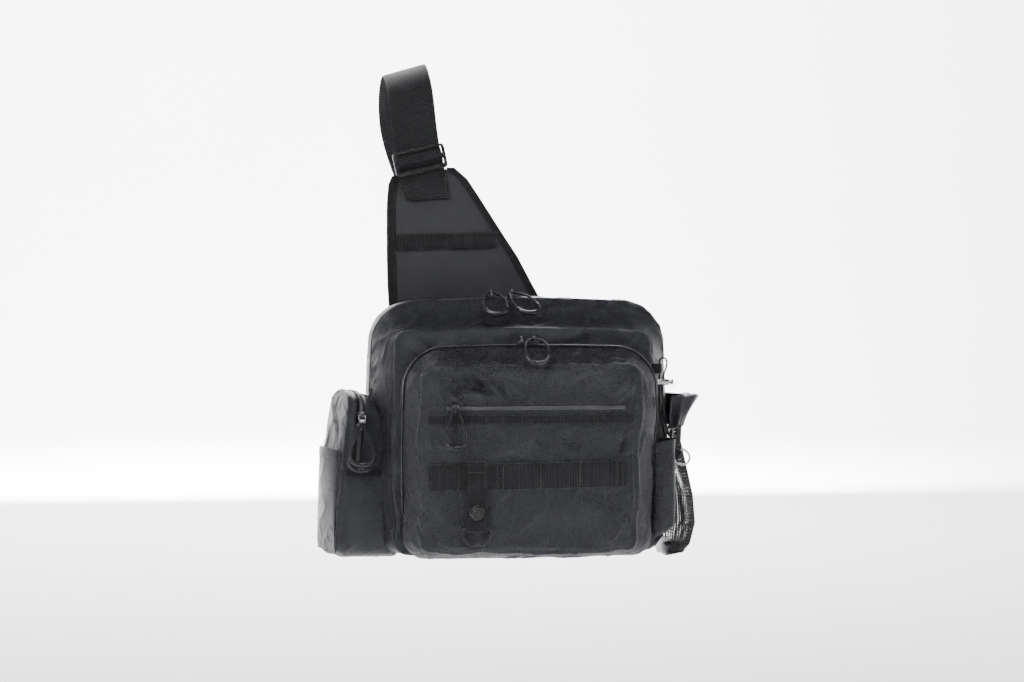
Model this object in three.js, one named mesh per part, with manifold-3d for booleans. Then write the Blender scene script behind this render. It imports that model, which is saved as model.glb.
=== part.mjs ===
import * as THREE from 'three';
import { mergeVertices } from 'three/addons/utils/BufferGeometryUtils.js';
import Module from 'manifold-3d';

const wasm = await Module();
wasm.setup();

// A sling bag worn over the left shoulder and lying on the back. Millimetres, +Z up, +X to the
// right seen from behind, +Y into the wearer's back. The origin is under the strap where it
// crosses the shoulder.

// Driving sizes
const gap = 0.3;
const shoulderDrop = 244;
const backOffset = 75;
const bagShift = 116;
const bodyWidth = 308;
const bodyHeight = 263;
const bodyDepth = 98;
const bodyWall = 3;
const bodySideBevel = 24;
const bodyTopFall = 31;
const bodyBulge = 5;
const bodyTopRadius = 46;
const bodyBaseRadius = 26;
const bodyEdgeRadius = 12;
const pocketInset = 46;
const pocketWidth = bodyWidth - pocketInset;
const pocketHeight = 216;
const pocketDepth = 44;
const pocketWall = 2;
const pocketSideBevel = 20;
const pocketTopFall = 22;
const pocketBulge = 6;
const pocketTopRadius = 44;
const pocketBaseRadius = 22;
const pocketEdgeRadius = 9;
const pocketShift = 4;
const pocketDrop = 45;
const zipWidth = 7;
const zipThickness = 1.6;
const cordDiameter = 2.4;
const gripDiameter = 4.8;
const pullLength = 43;
const pullWidth = 29;
const sliderLength = 9;
const sliderWidth = 8;
const sliderPlate = 2.4;
const facingWidth = 11;
const facingThickness = 1;
const ladderWidth = 27;
const ladderThickness = 1.6;
const ringStrapWidth = 20;
const ringStrapThickness = 1.4;
const ringWidth = 31;
const ringDrop = 19;
const ringWire = 2.7;
const studDiameter = 15.5;
const studHeight = 2.6;
const sideDrop = 90;
const sideHeight = 174;
const sideDepth = 72;
const sideReach = 22;
const sideWall = 2;
const sideLean = 16;
const sideYaw = 16;
const sideRadius = 24;
const sideBulge = 4;
const slipRise = 106;
const slipBulge = 10;
const slipWall = 1.6;
const netHeight = 136;
const netMargin = 24;
const netDepth = bodyDepth - netMargin;
const netReach = 36;
const netWall = 1.6;
const collarHeight = 32;
const collarWall = 1.8;
const sheathDrop = 147;
const sheathWidth = 25;
const sheathHeight = 100;
const sheathDepth = 16;
const sheathWall = 1.6;
const drawcordDiameter = 2;
const lockDiameter = 6.6;
const lockLength = 12.5;
const buttonDiameter = 6;
const buttonTravel = 2;
const sideRingWidth = 18;
const sideRingDrop = 15;
const sideRingWire = 2.2;
const tabThickness = 1.4;
const panelHeight = 136;
const panelBaseWidth = 160;
const panelThickness = 5;
const panelLean = 10;
const bindingWidth = 10;
const bindingThickness = 1;
const bandWidth = 18;
const bandThickness = 1.4;
const strapWidth = 48;
const strapThickness = 1.6;
const glideHeight = 26;
const glideWire = 3.4;
const glideThickness = 2.6;
const patchLength = 30;
const anchorThickness = 2.4;

const nylon = { color: 0x25272b, roughness: 0.62, metalness: 0 };
const pocketCloth = { color: 0x2b2d31, roughness: 0.58, metalness: 0 };
const webbing = { color: 0x1c1c1e, roughness: 0.75, metalness: 0 };
const zipTape = { color: 0x17181a, roughness: 0.7, metalness: 0 };
const tapeBinding = { color: 0x1f1d1c, roughness: 0.8, metalness: 0 };
const net = { color: 0x1a1b1d, roughness: 0.7, metalness: 0 };
const cordCover = { color: 0x121315, roughness: 0.6, metalness: 0 };
const mouldedGrip = { color: 0x303236, roughness: 0.35, metalness: 0 };
const gunmetal = { color: 0x4c4f54, roughness: 0.3, metalness: 0.9 };
const silver = { color: 0xb9bcc0, roughness: 0.28, metalness: 0.9 };

const group = new THREE.Group();
const { lerp, smoothstep } = THREE.MathUtils;
const vec = (x, y, z) => new THREE.Vector3(x, y, z);

// Solids from meshes

function signedVolume(points, faces) {
  let total = 0;
  for (let i = 0; i < faces.length; i += 3) {
    const [a, b, c] = [0, 1, 2].map((k) => new THREE.Vector3().fromArray(points, 3 * faces[i + k]));
    total += a.dot(b.cross(c)) / 6;
  }
  return total;
}

function closedSolid(points, faces) {
  const outward = signedVolume(points, faces) > 0;
  const order = outward ? [0, 1, 2] : [0, 2, 1];
  const turned = new Uint32Array(faces.length);
  for (let i = 0; i < faces.length; i += 3) {
    order.forEach((k, slot) => { turned[i + slot] = faces[i + k]; });
  }
  const mesh = new wasm.Mesh({ numProp: 3, vertProperties: new Float32Array(points), triVerts: turned });
  return new wasm.Manifold(mesh);
}

function solidOf(geometry) {
  const bare = geometry.clone();
  bare.deleteAttribute('normal');
  bare.deleteAttribute('uv');
  const merged = mergeVertices(bare, 1e-4);
  return closedSolid(merged.attributes.position.array, merged.index.array);
}

function geometryOf(solid) {
  const mesh = solid.getMesh();
  const geometry = new THREE.BufferGeometry();
  geometry.setAttribute('position', new THREE.BufferAttribute(new Float32Array(mesh.vertProperties), 3));
  geometry.setIndex(new THREE.BufferAttribute(new Uint32Array(mesh.triVerts), 1));
  geometry.computeVertexNormals();
  return geometry;
}

function addPiece(name, shape, finish) {
  const geometry = shape.isBufferGeometry ? shape : geometryOf(shape);
  const mesh = new THREE.Mesh(geometry, new THREE.MeshStandardMaterial(finish));
  mesh.name = name;
  group.add(mesh);
  return mesh;
}

// Rows of rings, each with the same number of points, skinned and closed at both ends: by the
// given triangles, or by a fan round the middle.
function skin(rings, cap) {
  const count = rings[0].length;
  const points = rings.flat().flatMap((p) => [p.x, p.y, p.z]);
  const faces = [];
  for (let row = 0; row + 1 < rings.length; row += 1) {
    for (let i = 0; i < count; i += 1) {
      const j = (i + 1) % count;
      const [a, b, c, d] = [row * count + i, row * count + j, (row + 1) * count + i, (row + 1) * count + j];
      faces.push(a, c, b, b, c, d);
    }
  }
  const ends = [0, rings.length - 1];
  if (cap) {
    ends.forEach((row) => cap.forEach(([a, b, c]) => {
      const corners = row === 0 ? [a, b, c] : [a, c, b];
      faces.push(...corners.map((k) => row * count + k));
    }));
    return closedSolid(points, faces);
  }
  ends.forEach((row) => {
    const centre = rings[row].reduce((sum, p) => sum.add(p), vec(0, 0, 0)).divideScalar(count);
    const hub = points.length / 3;
    points.push(centre.x, centre.y, centre.z);
    for (let i = 0; i < count; i += 1) {
      const [a, b] = [row * count + i, row * count + (i + 1) % count];
      faces.push(...(row === 0 ? [hub, a, b] : [hub, b, a]));
    }
  });
  return closedSolid(points, faces);
}

// A section of [across, outward] corners carried along stations of {at, across, out}.
function sweep(stations, section) {
  const corners = section.map(([a, n]) => new THREE.Vector2(a, n));
  const wanted = Math.sign(THREE.ShapeUtils.area(corners));
  const cap = THREE.ShapeUtils.triangulateShape(corners, []).map(([a, b, c]) => {
    const turn = Math.sign(THREE.ShapeUtils.area([corners[a], corners[b], corners[c]]));
    return turn === wanted ? [a, b, c] : [a, c, b];
  });
  return skin(stations.map(({ at, across, out }) => section.map(([a, n]) => at.clone()
    .addScaledVector(across, a).addScaledVector(out, n))), cap);
}

function flatSection(width, thickness, lift = 0) {
  const half = width / 2;
  return [[-half, lift], [half, lift], [half, lift + thickness], [-half, lift + thickness]];
}

function loopTube(curve, steps, diameter, sides) {
  return solidOf(new THREE.TubeGeometry(curve, steps, diameter / 2, sides, true));
}

function tube(curve, steps, diameter, sides) {
  const circle = new THREE.Shape();
  circle.absarc(0, 0, diameter / 2, 0, 2 * Math.PI);
  const options = { steps, curveSegments: sides / 2, extrudePath: curve, bevelEnabled: false };
  return solidOf(new THREE.ExtrudeGeometry(circle, options));
}

function box(low, high) {
  const size = high.clone().sub(low);
  const geometry = new THREE.BoxGeometry(size.x, size.y, size.z);
  geometry.translate(...low.clone().add(high).multiplyScalar(0.5).toArray());
  return solidOf(geometry);
}

// Pouches: rounded outlines stacked along a depth axis

const largeCorners = { arc: 3, topEdge: 7, sideEdge: 6, baseEdge: 5 };
const smallCorners = { arc: 2, topEdge: 3, sideEdge: 5, baseEdge: 2 };

// Clockwise from the foot of the left side; straight edges are cambered outwards.
function roundedOutline({ left, right, base, top, topRadius, baseRadius, camber }, corners) {
  const points = [];
  const edge = (a0, b0, a1, b1, steps) => {
    const length = Math.hypot(a1 - a0, b1 - b0);
    for (let i = 0; i < steps; i += 1) {
      const share = i / steps;
      const rise = camber * Math.sin(Math.PI * share);
      points.push([
        lerp(a0, a1, share) - (b1 - b0) / length * rise,
        lerp(b0, b1, share) + (a1 - a0) / length * rise,
      ]);
    }
  };
  const arc = (a, b, radius, start) => {
    for (let i = 0; i < corners.arc; i += 1) {
      const angle = start - Math.PI / 2 * i / corners.arc;
      points.push([a + radius * Math.cos(angle), b + radius * Math.sin(angle)]);
    }
  };
  edge(left, base + baseRadius, left, top - topRadius, corners.sideEdge);
  arc(left + topRadius, top - topRadius, topRadius, Math.PI);
  edge(left + topRadius, top, right - topRadius, top, corners.topEdge);
  arc(right - topRadius, top - topRadius, topRadius, Math.PI / 2);
  edge(right, top - topRadius, right, base + baseRadius, corners.sideEdge);
  arc(right - baseRadius, base + baseRadius, baseRadius, 0);
  edge(right - baseRadius, base, left + baseRadius, base, corners.baseEdge);
  arc(left + baseRadius, base + baseRadius, baseRadius, -Math.PI / 2);
  return points;
}

// Long soft creases: each row is a place, a turn in degrees, a length, a width and a depth.
function foldDepth(folds, across, up) {
  return folds.reduce((sum, fold) => {
    const turn = THREE.MathUtils.degToRad(fold.turn);
    const [da, du] = [across - fold.across, up - fold.up];
    const along = (da * Math.cos(turn) + du * Math.sin(turn)) / fold.length;
    const aside = (du * Math.cos(turn) - da * Math.sin(turn)) / fold.width;
    return sum + fold.depth * Math.exp(-along * along - aside * aside);
  }, 0);
}

// The ring of a form at one row: depth runs from 0 at the rear to 1 at the face, reach shrinks
// the ring towards its middle, and the face swells by the form's bulge.
function formRing(form, { depth, reach = 1 }, grow = 0, openRear = 0) {
  const limits = form.limits(depth, grow);
  const [midA, midB] = [(limits.left + limits.right) / 2, (limits.base + limits.top) / 2];
  const fade = 1 - Math.pow(reach, 3);
  return roundedOutline(limits, form.corners).map(([a, b]) => {
    const ringA = midA + (a - midA) * reach;
    const ringB = midB + (b - midB) * reach;
    const across = (ringA - form.left) / form.width;
    const up = (ringB - form.base) / form.height;
    const crease = reach < 1 ? foldDepth(form.folds, across, up) * form.depth : 0;
    const rear = depth === 0 ? -openRear - grow : 0;
    const front = depth === 1 ? form.bulge * fade + crease * Math.min(1, 4 * fade) + grow : 0;
    return form.place(ringA, ringB, depth, rear + front);
  });
}

function formSolid(form, grow = 0, openRear = 0) {
  const rows = form.rows.filter((row) => grow >= 0 || !row.outerOnly);
  return skin(rows.map((row) => formRing(form, row, grow, openRear)));
}

// Stations along the ring at one depth, from one share of its length to another.
function ringStations(form, depth, from, to) {
  const ring = formRing(form, { depth });
  const ahead = formRing(form, { depth: depth + 0.02 });
  const count = ring.length;
  const [first, last] = [Math.round(from * count), Math.round(to * count)];
  const stations = [];
  for (let i = first; i <= last; i += 1) {
    const at = ring[i % count];
    const across = ahead[i % count].clone().sub(at).normalize();
    const along = ring[(i + 1) % count].clone().sub(ring[(i - 1 + count) % count]).normalize();
    const out = form.handed ? along.clone().cross(across) : across.clone().cross(along);
    stations.push({ at, across, out: out.normalize() });
  }
  return stations;
}

function shortened(stations, trim) {
  const moved = stations.map((s) => ({ ...s }));
  const ends = [[0, 1], [stations.length - 1, stations.length - 2]];
  ends.forEach(([end, next]) => {
    const inward = stations[next].at.clone().sub(stations[end].at).normalize();
    moved[end].at = stations[end].at.clone().addScaledVector(inward, trim);
  });
  return moved;
}

// Main body

const bodyLeft = bagShift - bodyWidth / 2;
const bodyRight = bagShift + bodyWidth / 2;
const bodyTop = -shoulderDrop;
const bodyBase = bodyTop - bodyHeight;
const bodyBack = -backOffset;
const bodyFront = bodyBack - bodyDepth;
const bodyBevelStart = 0.56;
const bodyZipDepth = 0.5;

const bodyFolds = [
  { across: 0.13, up: 0.84, turn: -48, length: 0.07, width: 0.03, depth: -0.06 },
  { across: 0.91, up: 0.8, turn: 70, length: 0.06, width: 0.035, depth: 0.05 },
];

const body = {
  left: bodyLeft,
  width: bodyWidth,
  base: bodyBase,
  height: bodyHeight,
  depth: bodyDepth,
  bulge: bodyBulge,
  folds: bodyFolds,
  corners: largeCorners,
  handed: false,
  rows: [
    { depth: 0, reach: 0.96 },
    { depth: 0.02, reach: 0.985, outerOnly: true },
    { depth: 0.07 },
    { depth: bodyBevelStart },
    { depth: 0.7, outerOnly: true },
    { depth: 0.85 },
    { depth: 0.97, outerOnly: true },
    { depth: 1, reach: 0.98 },
    { depth: 1, reach: 0.9 },
    { depth: 1, reach: 0.62 },
    { depth: 1, reach: 0.3 },
  ],
  limits(depth, grow) {
    const slope = Math.max(0, (depth - bodyBevelStart) / (1 - bodyBevelStart));
    const sag = Math.sin(Math.PI * slope);
    const side = bodySideBevel * (slope - 0.1 * sag);
    return {
      left: bodyLeft + side - grow,
      right: bodyRight - side + grow,
      top: bodyTop - bodyTopFall * (slope + 0.3 * sag) + grow,
      base: bodyBase + 4 * slope - grow,
      topRadius: lerp(bodyTopRadius, bodyEdgeRadius, slope) + grow,
      baseRadius: lerp(bodyBaseRadius, bodyEdgeRadius, slope) + grow,
      camber: 3,
    };
  },
  place: (a, b, depth, lift) => vec(a, bodyBack - depth * bodyDepth - lift, b),
};

const bodyOuter = formSolid(body);
const bodyGrown = formSolid(body, gap);
const mainZipStations = ringStations(body, bodyZipDepth, 0.1, 0.55);
const slotDepth = 8;
const slotReach = 12;
const zipSlot = (stations) => sweep(stations, flatSection(zipWidth, slotReach, -slotDepth));
const zipStrip = (stations) => (
  sweep(shortened(stations, gap), flatSection(zipWidth - 2 * gap, zipThickness, -zipThickness))
);

const bodyShell = bodyOuter.subtract(formSolid(body, -bodyWall)).subtract(zipSlot(mainZipStations));
addPiece('main_body', bodyShell, nylon);
addPiece('main_zip', zipStrip(mainZipStations), zipTape);

// Front pocket

const pocketLeft = bagShift + pocketShift - pocketWidth / 2;
const pocketTop = bodyTop - pocketDrop;
const pocketBase = pocketTop - pocketHeight;
const pocketRear = bodyFront + 6;
const pocketSqueeze = 5;
const sheathTop = bodyTop - sheathDrop;
const pocketSpan = pocketDepth + 6;
const pocketBevelStart = 0.55;
const pocketZipDepth = 0.5;

const pocketFolds = [
  { across: 0.12, up: 0.87, turn: -35, length: 0.06, width: 0.025, depth: -0.07 },
  { across: 0.2, up: 0.83, turn: -50, length: 0.07, width: 0.025, depth: 0.06 },
  { across: 0.3, up: 0.85, turn: -60, length: 0.06, width: 0.03, depth: -0.05 },
  { across: 0.42, up: 0.5, turn: -40, length: 0.07, width: 0.03, depth: -0.05 },
  { across: 0.66, up: 0.52, turn: -55, length: 0.08, width: 0.03, depth: -0.05 },
  { across: 0.88, up: 0.5, turn: 60, length: 0.07, width: 0.03, depth: 0.04 },
  { across: 0.8, up: 0.14, turn: -65, length: 0.08, width: 0.03, depth: -0.04 },
];

const pocket = {
  left: pocketLeft,
  width: pocketWidth,
  base: pocketBase,
  height: pocketHeight,
  depth: pocketDepth,
  bulge: pocketBulge,
  folds: pocketFolds,
  corners: largeCorners,
  handed: false,
  rows: [
    { depth: 0 },
    { depth: pocketBevelStart },
    { depth: 0.75, outerOnly: true },
    { depth: 0.95 },
    { depth: 1, reach: 0.975 },
    { depth: 1, reach: 0.92 },
    { depth: 1, reach: 0.78 },
    { depth: 1, reach: 0.6 },
    { depth: 1, reach: 0.4 },
    { depth: 1, reach: 0.2 },
  ],
  limits(depth, grow) {
    const slope = Math.max(0, (depth - pocketBevelStart) / (1 - pocketBevelStart));
    const sag = Math.sin(Math.PI * slope);
    const side = pocketSideBevel * (slope - 0.08 * sag);
    return {
      left: pocketLeft + side - grow,
      right: pocketLeft + pocketWidth - 1.2 * side + grow,
      top: pocketTop - pocketTopFall * (slope + 0.1 * sag) + grow,
      base: pocketBase + 9 * slope - grow,
      topRadius: lerp(pocketTopRadius, pocketEdgeRadius, slope) + grow,
      baseRadius: lerp(pocketBaseRadius, pocketEdgeRadius, slope) + grow,
      camber: 1.5,
    };
  },
  // The lower right side gives way to the sheath beside it.
  place(a, b, depth, lift) {
    const rightShare = Math.max(0, (a - bagShift - pocketShift) / (pocketWidth / 2));
    const squeeze = pocketSqueeze * rightShare * (1 - smoothstep(b, sheathTop - 10, sheathTop + 30));
    return vec(a - squeeze, pocketRear - depth * pocketSpan - lift, b);
  },
};

const pocketGrown = formSolid(pocket, gap);
const panelZipZ = pocketTop - 62;
const panelZipFrom = pocketLeft + 42;
const panelZipTo = pocketLeft + pocketWidth - 37;
const panelZipSlot = 5.4;
const pocketFace = pocketRear - pocketSpan;
const panelSlot = box(
  vec(panelZipFrom, pocketFace - 3 * pocketBulge, panelZipZ - panelZipSlot / 2),
  vec(panelZipTo, pocketFace + 3 * pocketWall, panelZipZ + panelZipSlot / 2),
);
const pocketZipStations = ringStations(pocket, pocketZipDepth, 0.03, 0.6);
const pocketShell = formSolid(pocket)
  .subtract(formSolid(pocket, -pocketWall, 4 * pocketWall))
  .subtract(zipSlot(pocketZipStations))
  .subtract(panelSlot)
  .subtract(bodyGrown);
addPiece('front_pocket', pocketShell, pocketCloth);
addPiece('front_pocket_zip', zipStrip(pocketZipStations), zipTape);

// Height of the pocket's face towards the viewer, without its folds.
function pocketFaceY(x, z) {
  const limits = pocket.limits(1, 0);
  const across = Math.abs(2 * x - limits.left - limits.right) / (limits.right - limits.left);
  const up = Math.abs(2 * z - limits.base - limits.top) / (limits.top - limits.base);
  return pocketFace - pocketBulge * (1 - Math.pow(Math.max(across, up), 3));
}

// Strip lying across the pocket's face, from one x to another.
function faceBand(from, to, z, width, lift, thickness, rise = 0) {
  const steps = 14;
  const stations = [];
  for (let i = 0; i <= steps; i += 1) {
    const x = lerp(from, to, i / steps);
    const height = z + rise * (i / steps);
    stations.push({ at: vec(x, pocketFaceY(x, height), height), across: vec(0, 0, 1), out: vec(0, -1, 0) });
  }
  return sweep(stations, flatSection(width, thickness, lift));
}

const panelZip = faceBand(
  panelZipFrom + gap, panelZipTo - gap, panelZipZ, panelZipSlot - 2 * gap, -zipThickness, zipThickness + 0.4,
);
addPiece('panel_zip', panelZip, zipTape);

const faceLimits = pocket.limits(1, 0);
const seamMargin = 3;
const bandFrom = faceLimits.left + seamMargin;
const bandTo = faceLimits.right - seamMargin - pocketSqueeze;
const facingZ = panelZipZ - panelZipSlot / 2 - facingWidth / 2 - 3;
const facing = faceBand(
  bandFrom, bandTo + pocketSqueeze, facingZ, facingWidth, -2, facingThickness + 2 + gap,
);
addPiece('zip_facing', facing.subtract(pocketGrown), webbing);

const ladderRise = 84;
const ladderZ = pocketBase + ladderRise;
const ladder = faceBand(bandFrom, bandTo, ladderZ, ladderWidth, -2, ladderThickness + 2 + gap, 3);
addPiece('ladder_webbing', ladder.subtract(pocketGrown), webbing);

// Ring strap: down over the ladder webbing, round the ring's bar and up behind itself

const ringInset = 52;
const ringRise = 32;
const ringStrapX = faceLimits.left + ringInset;
const ringBarZ = pocketBase + ringRise;
const barRadius = ringWire / 2 + gap;
const foldCentre = gap + ringStrapThickness + barRadius;
const frontLift = gap + ladderThickness + 2 * gap;
const studRise = 17;

function ringStrap() {
  const top = ladderZ + ladderWidth / 2 + 3;
  const backTop = ladderZ - ladderWidth / 2 - 12;
  const rows = [
    { z: top, lift: frontLift },
    { z: ladderZ - ladderWidth / 2 - 4, lift: frontLift },
    { z: ringBarZ + studRise - studDiameter / 2, lift: frontLift },
    { z: ringBarZ + 3, lift: foldCentre + 0.7 * barRadius },
  ];
  const turn = 7;
  for (let i = 0; i <= turn; i += 1) {
    const angle = Math.PI * i / turn;
    rows.push({ z: ringBarZ - barRadius * Math.sin(angle), lift: foldCentre + barRadius * Math.cos(angle) });
  }
  rows.push({ z: ringBarZ + 6, lift: gap + ringStrapThickness });
  rows.push({ z: backTop, lift: gap + ringStrapThickness });
  const path = rows.map(({ z, lift }) => {
    const faceY = pocketFaceY(ringStrapX, Math.max(z, ringBarZ));
    return vec(ringStrapX, faceY - lift, z);
  });
  const stations = path.map((at, i) => {
    const along = path[Math.min(i + 1, path.length - 1)].clone().sub(path[Math.max(i - 1, 0)]).normalize();
    return { at, across: vec(1, 0, 0), out: vec(1, 0, 0).cross(along).negate() };
  });
  return sweep(stations, flatSection(ringStrapWidth, ringStrapThickness));
}
addPiece('ring_strap', ringStrap(), webbing);

function stud() {
  const radius = studDiameter / 2;
  const profile = [[0, 0], [0.94, 0], [1, 0.2], [0.98, 0.55], [0.8, 0.85], [0.55, 1], [0.4, 0.86], [0, 0.8]];
  const geometry = new THREE.LatheGeometry(
    profile.map(([r, h]) => new THREE.Vector2(r * radius, h * studHeight)), 16,
  );
  geometry.rotateX(Math.PI);
  return solidOf(geometry);
}
const studZ = ringBarZ + studRise;
const studY = pocketFaceY(ringStrapX, studZ) - frontLift - ringStrapThickness - 2 * gap;
addPiece('press_stud', stud().translate([ringStrapX, studY, studZ]), gunmetal);

// Closed ring of wire: straight bar on the x axis, bow below it.
function ringCurve(width, drop, wire) {
  const half = (width - wire) / 2;
  const fall = drop - wire;
  const rows = [
    [0, 0], [0.45, 0], [0.8, 0], [0.96, 0.06], [1, 0.25], [0.93, 0.55], [0.7, 0.83], [0.36, 0.98],
  ];
  const right = rows.map(([x, z]) => vec(x * half, 0, -z * fall));
  const left = rows.slice(1).reverse().map(([x, z]) => vec(-x * half, 0, -z * fall));
  return new THREE.CatmullRomCurve3([...right, vec(0, 0, -fall), ...left], true, 'centripetal');
}
const ringCentre = vec(ringStrapX, pocketFaceY(ringStrapX, ringBarZ) - foldCentre, ringBarZ);
const frontRing = loopTube(ringCurve(ringWidth, ringDrop, ringWire), 26, ringWire, 6);
addPiece('d_ring', frontRing.translate(ringCentre.toArray()), gunmetal);

// Sliders and pulls

// Slider: plate along x, its eye open along x, its back at height 0.
const eyeClear = cordDiameter / 2 + 1.05;
const eyeHeight = sliderPlate + eyeClear;
function sliderSolid() {
  const plate = new THREE.Shape();
  const [l, w, round] = [sliderLength / 2, sliderWidth / 2, 2];
  plate.moveTo(-l + round, -w);
  plate.lineTo(l - 1, -w);
  plate.quadraticCurveTo(l, -w, l, -w + 1);
  plate.lineTo(l, w - 1);
  plate.quadraticCurveTo(l, w, l - 1, w);
  plate.lineTo(-l + round, w);
  plate.quadraticCurveTo(-l, w, -l, w - round);
  plate.lineTo(-l, -w + round);
  plate.quadraticCurveTo(-l, -w, -l + round, -w);
  const base = solidOf(new THREE.ExtrudeGeometry(plate, {
    depth: sliderPlate, bevelEnabled: false, curveSegments: 3,
  }));
  const bow = new THREE.Shape();
  const wall = 1.1;
  bow.absarc(0, eyeHeight, eyeClear + wall, 0, Math.PI);
  bow.lineTo(-eyeClear - wall, sliderPlate - 0.5);
  bow.lineTo(eyeClear + wall, sliderPlate - 0.5);
  const eye = new THREE.Path();
  eye.absarc(0, eyeHeight, eyeClear, 0, 2 * Math.PI, true);
  bow.holes.push(eye);
  const archWidth = 1.8;
  const arch = new THREE.ExtrudeGeometry(bow, { depth: archWidth, bevelEnabled: false, curveSegments: 5 });
  arch.translate(0, 0, -archWidth / 2);
  arch.rotateX(Math.PI / 2);
  arch.rotateZ(Math.PI / 2);
  return base.add(solidOf(arch));
}

function seat(mesh, at, along, out) {
  const x = along.clone().normalize();
  const z = out.clone().addScaledVector(x, -out.dot(x)).normalize();
  const basis = new THREE.Matrix4().makeBasis(x, z.clone().cross(x), z);
  mesh.quaternion.setFromRotationMatrix(basis);
  mesh.position.copy(at);
  return mesh;
}

// Cord loop in the plane of side and hang, its top in the slider's eye at the origin.
const pullRows = [
  [0, 0], [0.16, 0.004], [0.34, 0.07], [0.56, 0.24], [0.87, 0.48], [1, 0.7], [0.86, 0.89], [0.46, 0.985],
];
const pullSteps = 22;
function pullCurve(at, side, hang, out, { length = pullLength, width = pullWidth, bow = 2 }) {
  const [half, fall] = [(width - gripDiameter) / 2, length - gripDiameter / 2];
  const point = ([x, z]) => at.clone().addScaledVector(side, x * half).addScaledVector(hang, z * fall)
    .addScaledVector(out, bow * Math.sin(Math.PI * z));
  const right = pullRows.map(point);
  const left = pullRows.slice(1).reverse().map(([x, z]) => point([-x, z]));
  return new THREE.CatmullRomCurve3([...right, point([0, 1]), ...left], true, 'centripetal');
}

function addPull(name, at, side, hang, out, shape) {
  const curve = pullCurve(at, side, hang, out, shape);
  addPiece(name + '_cord', loopTube(curve, pullSteps, cordDiameter, 5), cordCover);
  const middle = [0.36, 0.42, 0.5, 0.58, 0.64].map((u) => curve.getPointAt(u));
  const sleeve = tube(new THREE.CatmullRomCurve3(middle), 5, gripDiameter, 6);
  const bore = loopTube(curve, pullSteps, cordDiameter + 2 * gap, 5);
  addPiece(name + '_grip', sleeve.subtract(bore), mouldedGrip);
}

function addSlider(name, at, along, out, side, hang, shape = {}) {
  const seatAt = at.clone().addScaledVector(out, gap + 0.4);
  seat(addPiece(name + '_slider', geometryOf(sliderSolid()), gunmetal), seatAt, along, out);
  if (hang) {
    addPull(name + '_pull', seatAt.clone().addScaledVector(out, eyeHeight), side, hang, out, shape);
  }
}

const xAxis = vec(1, 0, 0);
const down = vec(0, 0, -1);
const mainZipTop = bodyTop + 3;
const mainZipY = bodyBack - bodyZipDepth * bodyDepth;
const bevelHang = vec(0, -0.87, -0.493);
const mainSliders = [
  { name: 'main_left', offset: -28, lean: 0.04 },
  { name: 'main_right', offset: -6, lean: 0.36 },
];
mainSliders.forEach(({ name, offset, lean }) => {
  const at = vec(bagShift + offset, mainZipY, mainZipTop);
  const hang = bevelHang.clone().addScaledVector(xAxis, lean).normalize();
  addSlider(name, at, xAxis, vec(0, 0, 1), xAxis, hang, { length: pullLength + 3, bow: 5 });
});

// Side pocket on the left

const sideTop = bodyTop - sideDrop;
const sideBase = sideTop - sideHeight;
const sideRear = bodyBack - 5;
const sideInner = bodyLeft + 24;
const sideZipDepth = 0.72;
const sideFolds = [
  { across: 0.7, up: 0.6, turn: 82, length: 0.35, width: 0.05, depth: -0.05 },
];
const side = {
  left: -sideRear,
  width: sideDepth,
  base: sideBase,
  height: sideHeight,
  depth: sideDepth,
  bulge: sideBulge,
  folds: sideFolds,
  corners: smallCorners,
  handed: true,
  rows: [
    { depth: 0 },
    { depth: 0.5, outerOnly: true },
    { depth: 0.82 },
    { depth: 0.95 },
    { depth: 1, reach: 0.95 },
    { depth: 1, reach: 0.8 },
    { depth: 1, reach: 0.55 },
    { depth: 1, reach: 0.25 },
  ],
  limits(depth, grow) {
    const round = 4 * Math.max(0, (depth - 0.82) / 0.18);
    return {
      left: -sideRear + round - grow,
      right: -sideRear + sideDepth - round + grow,
      top: sideTop - 20 * (1 - depth) - round + grow,
      base: sideBase + round - grow,
      topRadius: sideRadius - round + grow,
      baseRadius: sideRadius - 6 - round + grow,
      camber: 2,
    };
  },
  place(a, b, depth, lift) {
    const back = 1 - (a + sideRear) / sideDepth;
    const fall = (sideTop - b) / sideHeight;
    const outer = bodyLeft - sideReach - sideYaw * back - sideLean * Math.sin(Math.PI / 2 * fall);
    return vec(lerp(sideInner, outer, depth) - lift, -a, b);
  },
};
const sideGrown = formSolid(side, gap);
const sideZipStations = ringStations(side, sideZipDepth, 0.1, 0.6);
const sideShell = formSolid(side)
  .subtract(formSolid(side, -sideWall, 4 * sideWall))
  .subtract(zipSlot(sideZipStations))
  .subtract(bodyGrown);
addPiece('side_pocket', sideShell, nylon);
addPiece('side_zip', zipStrip(sideZipStations), zipTape);

const faceOut = vec(0, -1, 0);
const pocketZipY = pocketRear - pocketZipDepth * pocketSpan;
const pocketPullShift = 8;
const pocketPullAt = vec(bagShift + pocketPullShift, pocketZipY, pocketTop + 1.5);
addSlider('front_pocket', pocketPullAt, xAxis, vec(0, 0, 1), xAxis, vec(0, -0.82, -0.572), { bow: 7 });
const spareSliderAt = pocketPullAt.clone().add(vec(-sliderLength - 4, 0, 0));
addSlider('front_pocket_spare', spareSliderAt, xAxis, vec(0, 0, 1));

const panelPullX = panelZipFrom + sliderLength / 2 + 4;
const panelPullAt = vec(panelPullX, pocketFaceY(panelPullX, panelZipZ) - 0.4, panelZipZ);
addSlider('panel', panelPullAt, xAxis, faceOut, xAxis, down, { length: pullLength - 1, width: 24, bow: 5 });

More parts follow.
